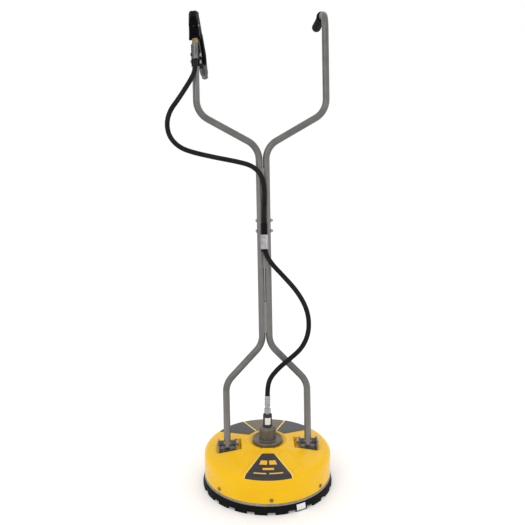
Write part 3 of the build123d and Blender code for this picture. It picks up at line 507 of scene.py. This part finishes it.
# ---------------------------------------------------------------- deck shell
MM = 0.001
SHOULDER_R = 0.021
WALL_BOTTOM = 0.036
WALL_T = 0.0035
CONE_ANGLE = math.atan(CONE_SLOPE)
DECK_TURNS = 720
PAD_Z = 0.128
PAD_CENTRE = (0.126, -0.010)
PAD_HALF = (0.041, 0.035)
PAD_RAMP = 0.004
FRONT_TURN = math.radians(-2.6)
FRONT_TOP_Y = 0.088
FRONT_TOP_HALF = 0.019
FRONT_BOTTOM_R = 0.2005
FRONT_HALF_ANGLE = math.radians(21.7)
SHAPED_ABOVE = 0.098
PLATEAU_EDGE = 0.010
PLATEAU_RAMP = 0.004
PLATEAU_RISE = 0.0030
SECTOR_DIP = 0.0014
RIDGE_RISE = 0.0022
RIDGE_HALF = 0.0028
RIDGE_CREST = 0.0008
RIDGE_LINES = (((0.0335, 0.060), (0.0745, 0.187)), ((-0.0335, 0.060), (-0.0745, 0.187)))
PLATEAU_INNER = (0.054, 0.060)  # each pair: where a feature starts to rise and where it is full
PLATEAU_OUTER = (0.190, 0.203)
DIP_SIDE = (0.050, 0.062)
DIP_INNER = (0.075, 0.09)
DIP_OUTER = (0.176, 0.184)
DIP_FRONT = (0.062, 0.072)
PROFILE_STEP = 0.0018
ARC_STEPS = 18
CONE_THICKEN = 1.03
INNER_TURN_R = 0.18
INNER_ABOVE = 0.1


def smooth(value, start, end):
    """0 before start, 1 after end, with an even S-curve between."""
    share = min(max((value - start) / (end - start), 0.0), 1.0)
    return share * share * (3 - 2 * share)


def deck_profile():
    """Radius and height along the deck's outside, from the flange out and down the wall."""
    arc_centre_r = WALL_R - SHOULDER_R
    arc_centre_z = CORNER_Z - SHOULDER_R * math.tan((math.pi / 2 - CONE_ANGLE) / 2)
    tangent_r = arc_centre_r + SHOULDER_R * math.sin(CONE_ANGLE)
    points = [(0.024, 0.147), (0.036, 0.147), (0.0505, 0.147)]
    points += [(0.053, 0.1474), (0.056, 0.1488), (0.059, 0.1502)]
    radius = CONE_TOP_R
    while radius < tangent_r - PROFILE_STEP / 2:
        points.append((radius, CORNER_Z + (WALL_R - radius) * CONE_SLOPE))
        radius += PROFILE_STEP
    for index in range(ARC_STEPS + 1):
        turn = math.pi / 2 - CONE_ANGLE - (math.pi / 2 - CONE_ANGLE) * index / ARC_STEPS
        arc_r = arc_centre_r + SHOULDER_R * math.cos(turn)
        points.append((arc_r, arc_centre_z + SHOULDER_R * math.sin(turn)))
    points += [(WALL_R, z * MM) for z in (96, 88, 78, 66, 54, 45, 39.5, 37.2)]
    points += [(WALL_R - 0.0004, 0.0364), (WALL_R - 0.0012, WALL_BOTTOM)]
    return points


def front_place(across_share, down_share):
    """A plan point on the front panel: across from -1 to 1, down from 0 at its top to 1."""
    angle = across_share * FRONT_HALF_ANGLE
    top = Vector((across_share * FRONT_TOP_HALF, -FRONT_TOP_Y))
    bottom = Vector((FRONT_BOTTOM_R * math.sin(angle), -FRONT_BOTTOM_R * math.cos(angle)))
    place = top.lerp(bottom, down_share)
    place.rotate(Matrix.Rotation(FRONT_TURN, 2))
    return place


def outside_front(x, y):
    """How far a plan point lies outside the front panel's two slanting sides, in metres."""
    place = Vector((x, y))
    place.rotate(Matrix.Rotation(-FRONT_TURN, 2))
    corner_x = FRONT_BOTTOM_R * math.sin(FRONT_HALF_ANGLE)
    corner_y = FRONT_BOTTOM_R * math.cos(FRONT_HALF_ANGLE)
    run = math.hypot(corner_x - FRONT_TOP_HALF, corner_y - FRONT_TOP_Y)
    along_x = (corner_x - FRONT_TOP_HALF) / run
    along_y = (corner_y - FRONT_TOP_Y) / run
    return (abs(place.x) - FRONT_TOP_HALF) * along_y - (-place.y - FRONT_TOP_Y) * along_x


def line_distance(x, y, start, end):
    """Distance in plan from a point to a line's length."""
    along = Vector(end) - Vector(start)
    share = min(max((Vector((x, y)) - Vector(start)).dot(along) / along.length_squared, 0.0), 1.0)
    return (Vector((x, y)) - Vector(start) - along * share).length


def relief(x, y):
    """Moulded detail over the cone: the front plateau, the dips beside it, the back ridges."""
    radius = math.hypot(x, y)
    height = 0.0
    if y < -0.02:
        outside = outside_front(x, y)
        edge = smooth(outside, PLATEAU_EDGE, PLATEAU_EDGE + PLATEAU_RAMP)
        reach = smooth(radius, *PLATEAU_INNER) * (1 - smooth(radius, *PLATEAU_OUTER))
        height += PLATEAU_RISE * (1 - edge) * reach
        dip = edge * (1 - smooth(outside, *DIP_SIDE)) * smooth(radius, *DIP_INNER)
        height -= SECTOR_DIP * dip * (1 - smooth(radius, *DIP_OUTER)) * smooth(-y, *DIP_FRONT)
    if y > 0.04:
        for start, end in RIDGE_LINES:
            away = line_distance(x, y, start, end)
            height += RIDGE_RISE * (1 - smooth(away, RIDGE_CREST, RIDGE_HALF))
    return height


def pad_share(x, y):
    """1 on a bracket pad, 0 away from it."""
    inside_x = PAD_HALF[0] - abs(abs(x) - PAD_CENTRE[0])
    inside_y = PAD_HALF[1] - abs(y - PAD_CENTRE[1])
    return smooth(min(inside_x, inside_y), 0.0, PAD_RAMP)


def deck_height(x, y, z, pad_z=PAD_Z):
    """The profile's height at a plan point, with its relief and its pads."""
    shaped = z + relief(x, y)
    return shaped + (min(pad_z, shaped) - shaped) * pad_share(x, y)


def cone_height(radius):
    """Height of the plain outside at a radius, over the cone and the shoulder."""
    for (r0, z0), (r1, z1) in zip(OUTSIDE, OUTSIDE[1:]):
        if r0 <= radius <= r1:
            return z0 + (z1 - z0) * (radius - r0) / max(r1 - r0, 1e-9)
    return OUTSIDE[-1][1]


def on_deck(x, y, lift):
    """The point on the deck's skin above a plan point, raised by lift."""
    radius = math.hypot(x, y)
    return Vector((x, y, deck_height(x, y, cone_height(radius)) + lift))


OUTSIDE = deck_profile()


def deck_mesh():
    """The moulded shell: an outer skin, a rolled lower edge and an inner skin."""
    inner = []
    for radius, z in OUTSIDE[:-10]:
        if z > INNER_ABOVE:
            inner_r = min(radius, WALL_R - WALL_T)
            if inner_r >= INNER_TURN_R:
                inner_r -= WALL_T * smooth(inner_r, INNER_TURN_R, WALL_R)
            inner.append((inner_r, z - WALL_T * CONE_THICKEN))
    inside_pad = PAD_Z - WALL_T
    rows = [(radius, z, PAD_Z) for radius, z in OUTSIDE]
    rows += [(WALL_R - WALL_T, z * MM, PAD_Z) for z in (36, 50, 70, 90)]
    rows += [(min(radius, WALL_R - WALL_T), z, inside_pad) for radius, z in reversed(inner)]
    work = bmesh.new()
    rings = []
    for radius, z, pad_z in rows:
        circle = []
        for index in range(DECK_TURNS):
            turn = 2 * math.pi * index / DECK_TURNS
            x = radius * math.cos(turn)
            y = radius * math.sin(turn)
            height = deck_height(x, y, z, pad_z) if z > SHAPED_ABOVE else z
            circle.append(work.verts.new((x, y, height)))
        rings.append(circle)
    rings.append(rings[0])
    for first, second in zip(rings, rings[1:]):
        for index in range(DECK_TURNS):
            other = (index + 1) % DECK_TURNS
            work.faces.new((first[index], second[index], second[other], first[other]))
    mesh = mesh_from("deck_moulding", work)
    sharp_shading(mesh, 50)
    return link("deck_moulding", mesh)


stand_for(deck_mesh(), "deck_shell")


# ---------------------------------------------------------------- thin pieces laid on the deck
EDGE_SHARE = 0.55  # a sheet's rim is this much of its thickness
SHEET_SINK = 0.0002


def laid(name, place, columns, rows, thickness, lift=0.0):
    """A thin sheet on the deck. place(u, v) gives its plan point for u and v from 0 to 1."""
    work = bmesh.new()
    top = []
    bottom = []
    for row in range(rows + 1):
        top_row = []
        bottom_row = []
        for column in range(columns + 1):
            x, y = place(column / columns, row / rows)
            on_rim = min(column, columns - column, row, rows - row) == 0
            share = EDGE_SHARE if on_rim else 1.0
            top_row.append(work.verts.new(on_deck(x, y, lift + thickness * share)))
            bottom_row.append(work.verts.new(on_deck(x, y, lift - SHEET_SINK)))
        top.append(top_row)
        bottom.append(bottom_row)
    for row in range(rows):
        for column in range(columns):
            near, far = top[row], top[row + 1]
            work.faces.new((near[column], near[column + 1], far[column + 1], far[column]))
            near, far = bottom[row], bottom[row + 1]
            work.faces.new((near[column], far[column], far[column + 1], near[column + 1]))
    edge_top, edge_bottom = (
        grid[0][:-1] + [r[-1] for r in grid[:-1]] + grid[-1][:0:-1] + [r[0] for r in grid[:0:-1]]
        for grid in (top, bottom)
    )
    count = len(edge_top)
    for index in range(count):
        other = (index + 1) % count
        work.faces.new((edge_top[index], edge_top[other], edge_bottom[other], edge_bottom[index]))
    mesh = mesh_from(name, work)
    sharp_shading(mesh, 50)
    return link(name, mesh)


def between(a, b, c, d):
    """A place function over the quadrilateral a-b (first edge) to d-c (last edge)."""
    a, b, c, d = (Vector(point) for point in (a, b, c, d))
    return lambda u, v: a.lerp(b, u).lerp(d.lerp(c, u), v)


PANEL_T = 0.0011
PANEL_CELLS = 60
front_label = laid(
    "front_label", lambda u, v: front_place(2 * u - 1, v), PANEL_CELLS, PANEL_CELLS, PANEL_T
)
stand_for(front_label, "front_panel")


def trim(name, place, columns, rows, thickness, lift, material):
    """A thin laid piece that has no CAD node of its own, such as a printed bar."""
    piece = laid(name, place, columns, rows, thickness, lift)
    dress(piece, material)
    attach(piece, "deck")


def front_bar(left, right, top, bottom):
    """A place function for a bar printed on the front panel, in shares of the panel."""
    return lambda u, v: front_place(left + (right - left) * u, top + (bottom - top) * v)


PRINT_T = 0.0002
for name, bounds in {
    "print_block_left": (-0.62, -0.08, 0.30, 0.47),
    "print_block_right": (0.08, 0.62, 0.30, 0.47),
    "print_bar_middle": (-0.32, 0.32, 0.60, 0.68),
    "print_bar_left": (-0.70, -0.10, 0.80, 0.845),
    "print_bar_right": (0.04, 0.70, 0.80, 0.845),
}.items():
    trim(name, front_bar(*bounds), 24, 6, PRINT_T, PANEL_T, PRINT_YELLOW)

BORDER = 0.035
BORDER_TAPER = 0.6
BORDER_T = 0.0012


def front_border(hand):
    """A place function for the raised line beside the front panel, narrower towards its foot."""
    return lambda u, v: front_place(hand * (1 + BORDER * (1 - BORDER_TAPER * v) * u * 2), v)


# The raised border lines take the paler yellow: painted highlight.
for name, hand in (("border_left", -1), ("border_right", 1)):
    trim(name, front_border(hand), 4, PANEL_CELLS, BORDER_T, 0.0, RIDGE_HIGHLIGHT)

RIDGE_WIDE = 0.0016
RIDGE_T = 0.0004
# The back ridges take the paler yellow too: painted highlight.
for name, (start, end) in zip(("ridge_right", "ridge_left"), RIDGE_LINES):
    way = (Vector(end) - Vector(start)).normalized()
    side = Vector((way.y, -way.x)) * RIDGE_WIDE
    start, end = Vector(start), Vector(end)
    place = between(start - side, start + side, end + side, end - side)
    trim(name, place, 6, PANEL_CELLS, RIDGE_T, 0.0, RIDGE_HIGHLIGHT)


# ---------------------------------------------------------------- skirt and rim band
NOTCHES = 20
NOTCH_HALF = math.asin(0.0125 / SKIRT_R)
NOTCH_TOP = 0.009
NOTCH_SLOPE = 0.05
NOTCH_INNER_R = 0.204
EDGE_TURN = math.radians(0.12)


def lathe(name, profiles, turns):
    """A closed ring mesh. profiles[i] is the closed list of (radius, height) used at turns[i]."""
    work = bmesh.new()
    rings = []
    for profile, turn in zip(profiles, turns):
        rings.append([work.verts.new((r * math.cos(turn), r * math.sin(turn), z)) for r, z in profile])
    rings.append(rings[0])
    count = len(profiles[0])
    for first, second in zip(rings, rings[1:]):
        for index in range(count):
            other = (index + 1) % count
            work.faces.new((first[index], first[other], second[other], second[index]))
    mesh = mesh_from(name, work)
    sharp_shading(mesh)
    return link(name, mesh)


skirt_whole = [
    (0.1960, 0.0575), (0.1965, 0.0580), (0.2003, 0.0580), (0.2005, 0.0575), (0.2005, 0.0285),
    (0.2010, 0.0279), (0.2054, 0.0278), (0.2063, 0.0272), (0.2082, 0.0205), (0.2102, 0.0130),
    (0.2108, 0.0100), (0.2110, 0.0080), (0.2110, 0.0015), (0.2104, 0.0004), (0.2094, 0.0),
    (0.2060, 0.0), (0.2052, 0.0006), (0.2048, 0.0020), (0.2040, 0.0080), (0.2000, 0.0165),
    (0.1960, 0.0240),
]
skirt_notched = []
for radius, z in skirt_whole:
    skirt_notched.append((radius, max(z, NOTCH_TOP + (radius - NOTCH_INNER_R) * NOTCH_SLOPE)))
skirt_profiles = []
skirt_turns = []
for index in range(NOTCHES):
    middle = math.radians(-90) + 2 * math.pi * index / NOTCHES
    half_period = math.pi / NOTCHES
    for share in (-1.0, -0.5, 0.0, 0.5, 1.0):
        skirt_turns.append(middle + NOTCH_HALF * share)
        skirt_profiles.append(skirt_notched)
    land = 2 * half_period - 2 * NOTCH_HALF - 2 * EDGE_TURN
    for share in (0.0, 0.04, 0.15, 0.3, 0.5, 0.7, 0.85, 0.96, 1.0):
        skirt_turns.append(middle + NOTCH_HALF + EDGE_TURN + land * share)
        skirt_profiles.append(skirt_whole)
stand_for(lathe("skirt_ring", skirt_profiles, skirt_turns), "skirt")

band_profile = [
    (0.2011, 0.0284), (0.2014, 0.0281), (0.2040, 0.0281), (0.2056, 0.0284), (0.2062, 0.0293),
    (0.2064, 0.0310), (0.2062, 0.0326), (0.2056, 0.0336), (0.2050, 0.0341), (0.2047, 0.0348),
    (0.2046, 0.0357), (0.2040, 0.0360), (0.2014, 0.0360), (0.2011, 0.0357),
]
BAND_TURNS = 360
band_turns = [2 * math.pi * index / BAND_TURNS for index in range(BAND_TURNS)]
stand_for(lathe("rim_ring", [band_profile] * BAND_TURNS, band_turns), "rim_band")

# ---------------------------------------------------------------- blank paper label on the skirt
LABEL_TURN = math.radians(-63.3)
LABEL_HALF_TURN = math.radians(4.3)
LABEL_COLUMNS = 12
LABEL_PROFILE = ((0.2115, 0.0040), (0.2114, 0.0095), (0.2092, 0.0190), (0.2079, 0.0240))
label_work = bmesh.new()
label_rows = []
for radius, height in LABEL_PROFILE:
    row = []
    for index in range(LABEL_COLUMNS + 1):
        turn = LABEL_TURN + LABEL_HALF_TURN * (2 * index / LABEL_COLUMNS - 1)
        x, y = radius * math.cos(turn), radius * math.sin(turn)
        row.append(label_work.verts.new((x, y, height)))
    label_rows.append(row)
for low, high in zip(label_rows, label_rows[1:]):
    for index in range(LABEL_COLUMNS):
        label_work.faces.new((low[index], low[index + 1], high[index + 1], high[index]))
label_mesh = bpy.data.meshes.new("skirt_label")
label_work.to_mesh(label_mesh)
label_work.free()
label_mesh.shade_smooth()
skirt_label = link("skirt_label", label_mesh)
label_body = skirt_label.modifiers.new("paper_thickness", "SOLIDIFY")
label_body.thickness = 0.00025
label_body.offset = -1.0
dress(skirt_label, LABEL)
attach(skirt_label, "deck")

# ---------------------------------------------------------------- hose
hose_route = [
    on_handle(-0.206, 1.222, 0.028), on_handle(-0.206, 1.188, 0.028),
    on_handle(-0.224, 1.154, 0.028), on_handle(-0.262, 1.098, 0.027),
    on_handle(-0.290, 1.062, 0.026), on_handle(-0.301, 1.022, 0.025),
    on_handle(-0.293, 0.981, 0.025), on_handle(-0.265, 0.950, 0.025),
    on_handle(-0.226, 0.933, 0.026), on_handle(-0.150, 0.915, 0.026),
    on_handle(-0.080, 0.901, 0.025), on_handle(-0.034, 0.888, 0.024),
    on_handle(-0.005, 0.858, 0.023), on_handle(0.004, 0.815, 0.022),
    on_handle(0.002, 0.765, 0.021), on_handle(0, 0.722, 0.021),
    on_handle(0, 0.690, 0.021), on_handle(0, 0.652, 0.021), on_handle(0.0005, 0.616, 0.021),
    Vector((0.018, 0.131, 0.712)), Vector((0.058, 0.112, 0.672)), Vector((0.096, 0.095, 0.632)),
    Vector((0.124, 0.078, 0.588)), Vector((0.136, 0.062, 0.545)), Vector((0.133, 0.047, 0.498)),
    Vector((0.112, 0.035, 0.456)), Vector((0.075, 0.025, 0.426)), Vector((0.036, 0.016, 0.397)),
    Vector((0.008, 0.007, 0.366)), Vector((0, 0, 0.336)), Vector((0, 0, 0.311)),
]


def read_route(name, points):
    """Closely spaced points along the smooth line through a hose's control points."""
    data = bpy.data.curves.new(name, "CURVE")
    data.dimensions = "3D"
    spline = data.splines.new("NURBS")
    spline.points.add(len(points) - 1)
    for target, point in zip(spline.points, points):
        target.co = (*point, 1.0)
    spline.order_u = 3
    spline.use_endpoint_u = True
    spline.resolution_u = 14
    holder = link(name, data)
    mesh = bpy.data.meshes.new_from_object(holder)
    line = [vertex.co.copy() for vertex in mesh.vertices]
    bpy.data.objects.remove(holder)
    bpy.data.meshes.remove(mesh)
    return line


def tube_mesh(name, line, radius_at, sides=28):
    """A closed tube along a line, with its layout in metres: along the tube and round it."""
    work = bmesh.new()
    layout = work.loops.layers.uv.new("UVMap")
    rings = []
    lengths = [0.0]
    normal = (line[1] - line[0]).orthogonal().normalized()
    for index, point in enumerate(line):
        before = line[max(index - 1, 0)]
        after = line[min(index + 1, len(line) - 1)]
        tangent = (after - before).normalized()
        normal = (normal - tangent * normal.dot(tangent)).normalized()
        binormal = tangent.cross(normal)
        if index:
            lengths.append(lengths[-1] + (point - line[index - 1]).length)
        radius = radius_at(lengths[-1])
        circle = []
        for side in range(sides):
            turn = 2 * math.pi * side / sides
            outward = normal * math.cos(turn) + binormal * math.sin(turn)
            circle.append(work.verts.new(point + outward * radius))
        rings.append(circle)
    round_length = 2 * math.pi * radius_at(lengths[-1] / 2)
    for index in range(len(rings) - 1):
        for side in range(sides):
            other = (side + 1) % sides
            ring, after = rings[index], rings[index + 1]
            face = work.faces.new((ring[side], ring[other], after[other], after[side]))
            spans = (
                (lengths[index], side), (lengths[index], side + 1),
                (lengths[index + 1], side + 1), (lengths[index + 1], side),
            )
            for corner, (along, turn) in zip(face.loops, spans):
                corner[layout].uv = (along, round_length * turn / sides)
    work.faces.new(list(reversed(rings[0])))
    work.faces.new(rings[-1])
    mesh = mesh_from(name, work)
    mesh.shade_smooth()
    return link(name, mesh)


hose_line = read_route("hose_route", hose_route)
hose_piece = tube_mesh("hose", hose_line, lambda along: HOSE_R)
dress(hose_piece, HOSE_COVER)
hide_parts("hose_upper", "hose_lower")
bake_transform(hose_piece)

# ---------------------------------------------------------------- ribbed hand grip
hook_ahead = FORWARD * math.cos(HOOK_INWARD) * math.cos(HOOK_DROP)
hook_way = Vector((-math.sin(HOOK_INWARD), 0, 0)) - hook_ahead
hook_way = (hook_way - ALONG * math.sin(HOOK_DROP)).normalized()
grip_end = on_handle(GRIP_X, S_TOP) + hook_way * HOOK_REACH
grip_start = grip_end - hook_way * GRIP_LENGTH
GRIP_R = 0.0149
GRIP_STEPS = 286
GRIP_SIDES = 48
GRIP_TIP = 0.005
RIB_PITCH = 0.0052
RIB_DEPTH = 0.0009
RIBS_START = (0.010, 0.016)  # the ribs fade in between these two
RIBS_END = (0.022, 0.014)  # and out between these, counted back from the tip
FLANGE_LENGTH = 0.0045
FLANGE_MIDDLE = 0.0022
FLANGE_R = 0.0178
FLANGE_DROP = 0.0022
TIP_LENGTH = 0.006
TIP_R = 0.0150
SWELL = 0.0002


def grip_radius(along):
    """Outline of the grip: a flange at the start, shallow ribs, then a rounded closed tip."""
    whole = GRIP_LENGTH + GRIP_TIP
    if along < FLANGE_LENGTH:
        return FLANGE_R - FLANGE_DROP * smooth(abs(along - FLANGE_MIDDLE), 0.0012, 0.0023)
    if along > whole - TIP_LENGTH:
        share = (along - whole + TIP_LENGTH) / TIP_LENGTH
        return TIP_R - TIP_LENGTH * (1 - math.sqrt(max(1 - share * share, 0.0)))
    swell = SWELL * math.cos(2 * math.pi * along / whole)
    fade_out = 1 - smooth(along, whole - RIBS_END[0], whole - RIBS_END[1])
    ribbed = smooth(along, *RIBS_START) * fade_out
    wave = 0.5 - 0.5 * math.cos(2 * math.pi * along / RIB_PITCH)
    return GRIP_R + swell - RIB_DEPTH * ribbed * wave ** 3


grip_tip = grip_end + hook_way * GRIP_TIP
grip_line = [grip_start.lerp(grip_tip, index / GRIP_STEPS) for index in range(GRIP_STEPS + 1)]
stand_for(tube_mesh("ribbed_grip", grip_line, grip_radius, GRIP_SIDES), "handle_grip")

# ---------------------------------------------------------------- gun housing, rounded and ribbed
GUN_PITCH = math.radians(25)
GUN_ROLL = math.radians(7)
GUN_GRIP_ANGLE = math.radians(-100)
OUTLET_S = 1.290
OUTLET_D = 0.028
BARREL_REACH = 0.036
BARREL = Vector((0, -math.cos(GUN_PITCH), -math.sin(GUN_PITCH)))
GUN_UP = Vector((0, -math.sin(GUN_PITCH), math.cos(GUN_PITCH))) * math.cos(GUN_ROLL)
GUN_UP = GUN_UP - Vector((1, 0, 0)) * math.sin(GUN_ROLL)
GUN_SIDE = BARREL.cross(GUN_UP)
GUN_ORIGIN = on_handle(-GRIP_X, OUTLET_S, OUTLET_D) - BARREL * BARREL_REACH
GUN_HALF = 0.0155
RIB_THICK = 0.0030
RIB_OUT = 0.0018
RIB_SINK = 0.003


def gun_point(x, y, lift=0.0):
    """A point in the gun's own frame: along the barrel, up, and out to the side."""
    return GUN_ORIGIN + BARREL * x + GUN_UP * y + GUN_SIDE * lift


def add_bar(work, start, end, hand):
    """A bar with square ends on the gun's side, sunk a little into the housing."""
    way = Vector((end[0] - start[0], end[1] - start[1])).normalized()
    across = Vector((-way.y, way.x)) * RIB_THICK / 2
    ring = []
    for x, y in (start, end):
        for reach in (GUN_HALF - RIB_SINK, GUN_HALF + RIB_OUT):
            ring.append(work.verts.new(gun_point(x + across.x, y + across.y, hand * reach)))
            ring.append(work.verts.new(gun_point(x - across.x, y - across.y, hand * reach)))
    for quad in ((0, 1, 3, 2), (4, 6, 7, 5), (0, 2, 6, 4), (1, 5, 7, 3), (2, 3, 7, 6), (0, 4, 5, 1)):
        work.faces.new([ring[corner] for corner in quad])


BODY_RIBS = 4
BODY_RIB_FOOT = -0.006
BODY_RIB_PITCH = 0.0055
BODY_RIB_ENDS = (-0.052, 0.016)
GRIP_RIBS = 9
GRIP_RIB_START = 0.052
GRIP_RIB_PITCH = 0.0105
GRIP_RIB_HALF = 0.010
GRIP_WAY = Vector((math.cos(GUN_GRIP_ANGLE), math.sin(GUN_GRIP_ANGLE)))
GRIP_ROOT = Vector((-0.052, -0.010))
RIB_BARS = []
for step in range(BODY_RIBS):
    rib_height = BODY_RIB_FOOT + BODY_RIB_PITCH * step
    RIB_BARS.append(tuple((x, rib_height) for x in BODY_RIB_ENDS))
for step in range(GRIP_RIBS):
    middle = GRIP_ROOT + GRIP_WAY * (GRIP_RIB_START + GRIP_RIB_PITCH * step)
    front = Vector((-GRIP_WAY.y, GRIP_WAY.x)) * GRIP_RIB_HALF
    RIB_BARS.append((tuple(middle - front), tuple(middle + front)))

CHEEK_LINES = ((0.016, -0.001), (-0.004, 0.0035), (-0.0165, 0.0060))  # height, and how proud
CHEEK_ENDS = (-0.044, 0.029)
CHEEK_SINK = 0.004
CHEEK_TAPER = 0.97


def add_cheek(work):
    """A tapered cheek low on the gun's outer side, flush at its top and proud at its bottom."""
    rows = []
    for y, out in CHEEK_LINES:
        for x in CHEEK_ENDS:
            rows.append(work.verts.new(gun_point(x, y, GUN_HALF - CHEEK_SINK)))
            rows.append(work.verts.new(gun_point(x * CHEEK_TAPER, y, GUN_HALF + out)))
    top, middle, bottom = rows[0:4], rows[4:8], rows[8:12]
    for first, second in ((top, middle), (middle, bottom)):
        for a, b in ((0, 1), (1, 3), (3, 2), (2, 0)):
            work.faces.new((first[a], first[b], second[b], second[a]))
    work.faces.new((top[0], top[2], top[3], top[1]))
    work.faces.new((bottom[0], bottom[1], bottom[3], bottom[2]))


# The hood and the rounded back are on these meshes only: the CAD housing is plain there.
HOOD_FOOT = 0.002
HOOD_WALL = 0.0025
HOOD_ROOF = [(0.028, 0.0254), (0.0478, 0.0161), (0.0453, 0.0145), (0.028, 0.0226)]
HOOD_FRONT = [(0.0453, 0.0173), (0.0478, 0.0161), (0.0478, HOOD_FOOT), (0.0453, HOOD_FOOT)]
HOOD_SIDE = [(0.028, 0.0254), (0.0478, 0.0161), (0.0478, HOOD_FOOT), (0.028, HOOD_FOOT)]
CROWN_FOOT = (-0.060, 0.014, 0.031, 0.0145)  # rear, front, height and half width
CROWN_TOP = (-0.048, -0.012, 0.043, 0.0095)


def add_slab(work, outline, inner, outer, hand):
    """A flat piece drawn from the side, between two distances from the gun's middle plane."""
    near = [work.verts.new(gun_point(x, y, hand * inner)) for x, y in outline]
    far = [work.verts.new(gun_point(x, y, hand * outer)) for x, y in outline]
    work.faces.new(near)
    work.faces.new(list(reversed(far)))
    for index in range(len(outline)):
        after = (index + 1) % len(outline)
        work.faces.new((near[index], far[index], far[after], near[after]))


def add_hood(work, hand):
    """Half of the hood over the outlet: a roof, a front wall and a side wall."""
    add_slab(work, HOOD_ROOF, 0.0, GUN_HALF, hand)
    add_slab(work, HOOD_FRONT, 0.0, GUN_HALF, hand)
    add_slab(work, HOOD_SIDE, GUN_HALF - HOOD_WALL, GUN_HALF, hand)


def add_crown(work, hand):
    """Half of the rounded back of the housing, narrower towards its top."""
    rings = []
    for rear, front, y, half in (CROWN_FOOT, CROWN_TOP):
        corners = ((rear, 0.0), (front, 0.0), (front, half), (rear, half))
        rings.append([work.verts.new(gun_point(x, y, hand * lift)) for x, lift in corners])
    foot, top = rings
    work.faces.new(foot)
    work.faces.new(list(reversed(top)))
    for index in range(4):
        after = (index + 1) % 4
        work.faces.new((foot[index], top[index], top[after], foot[after]))


for word, hand in (("left", -1), ("right", 1)):
    node = f"gun_housing_{word}"
    work = bmesh.new()
    work.from_mesh(frame["nodes"][node].data)
    bmesh.ops.remove_doubles(work, verts=work.verts, dist=WELD)
    for start, end in RIB_BARS:
        add_bar(work, start, end, hand)
    add_hood(work, hand)
    add_crown(work, hand)
    if hand > 0:
        add_cheek(work)
    housing = link(f"{node}_moulding", mesh_from(f"{node}_moulding", work))
    remesh = housing.modifiers.new("even_mesh", "REMESH")
    remesh.mode = "VOXEL"
    remesh.voxel_size = 0.0009
    remesh.use_smooth_shade = True
    relax = housing.modifiers.new("rounding", "SMOOTH")
    relax.factor = 0.5
    relax.iterations = 18
    stand_for(housing, node)
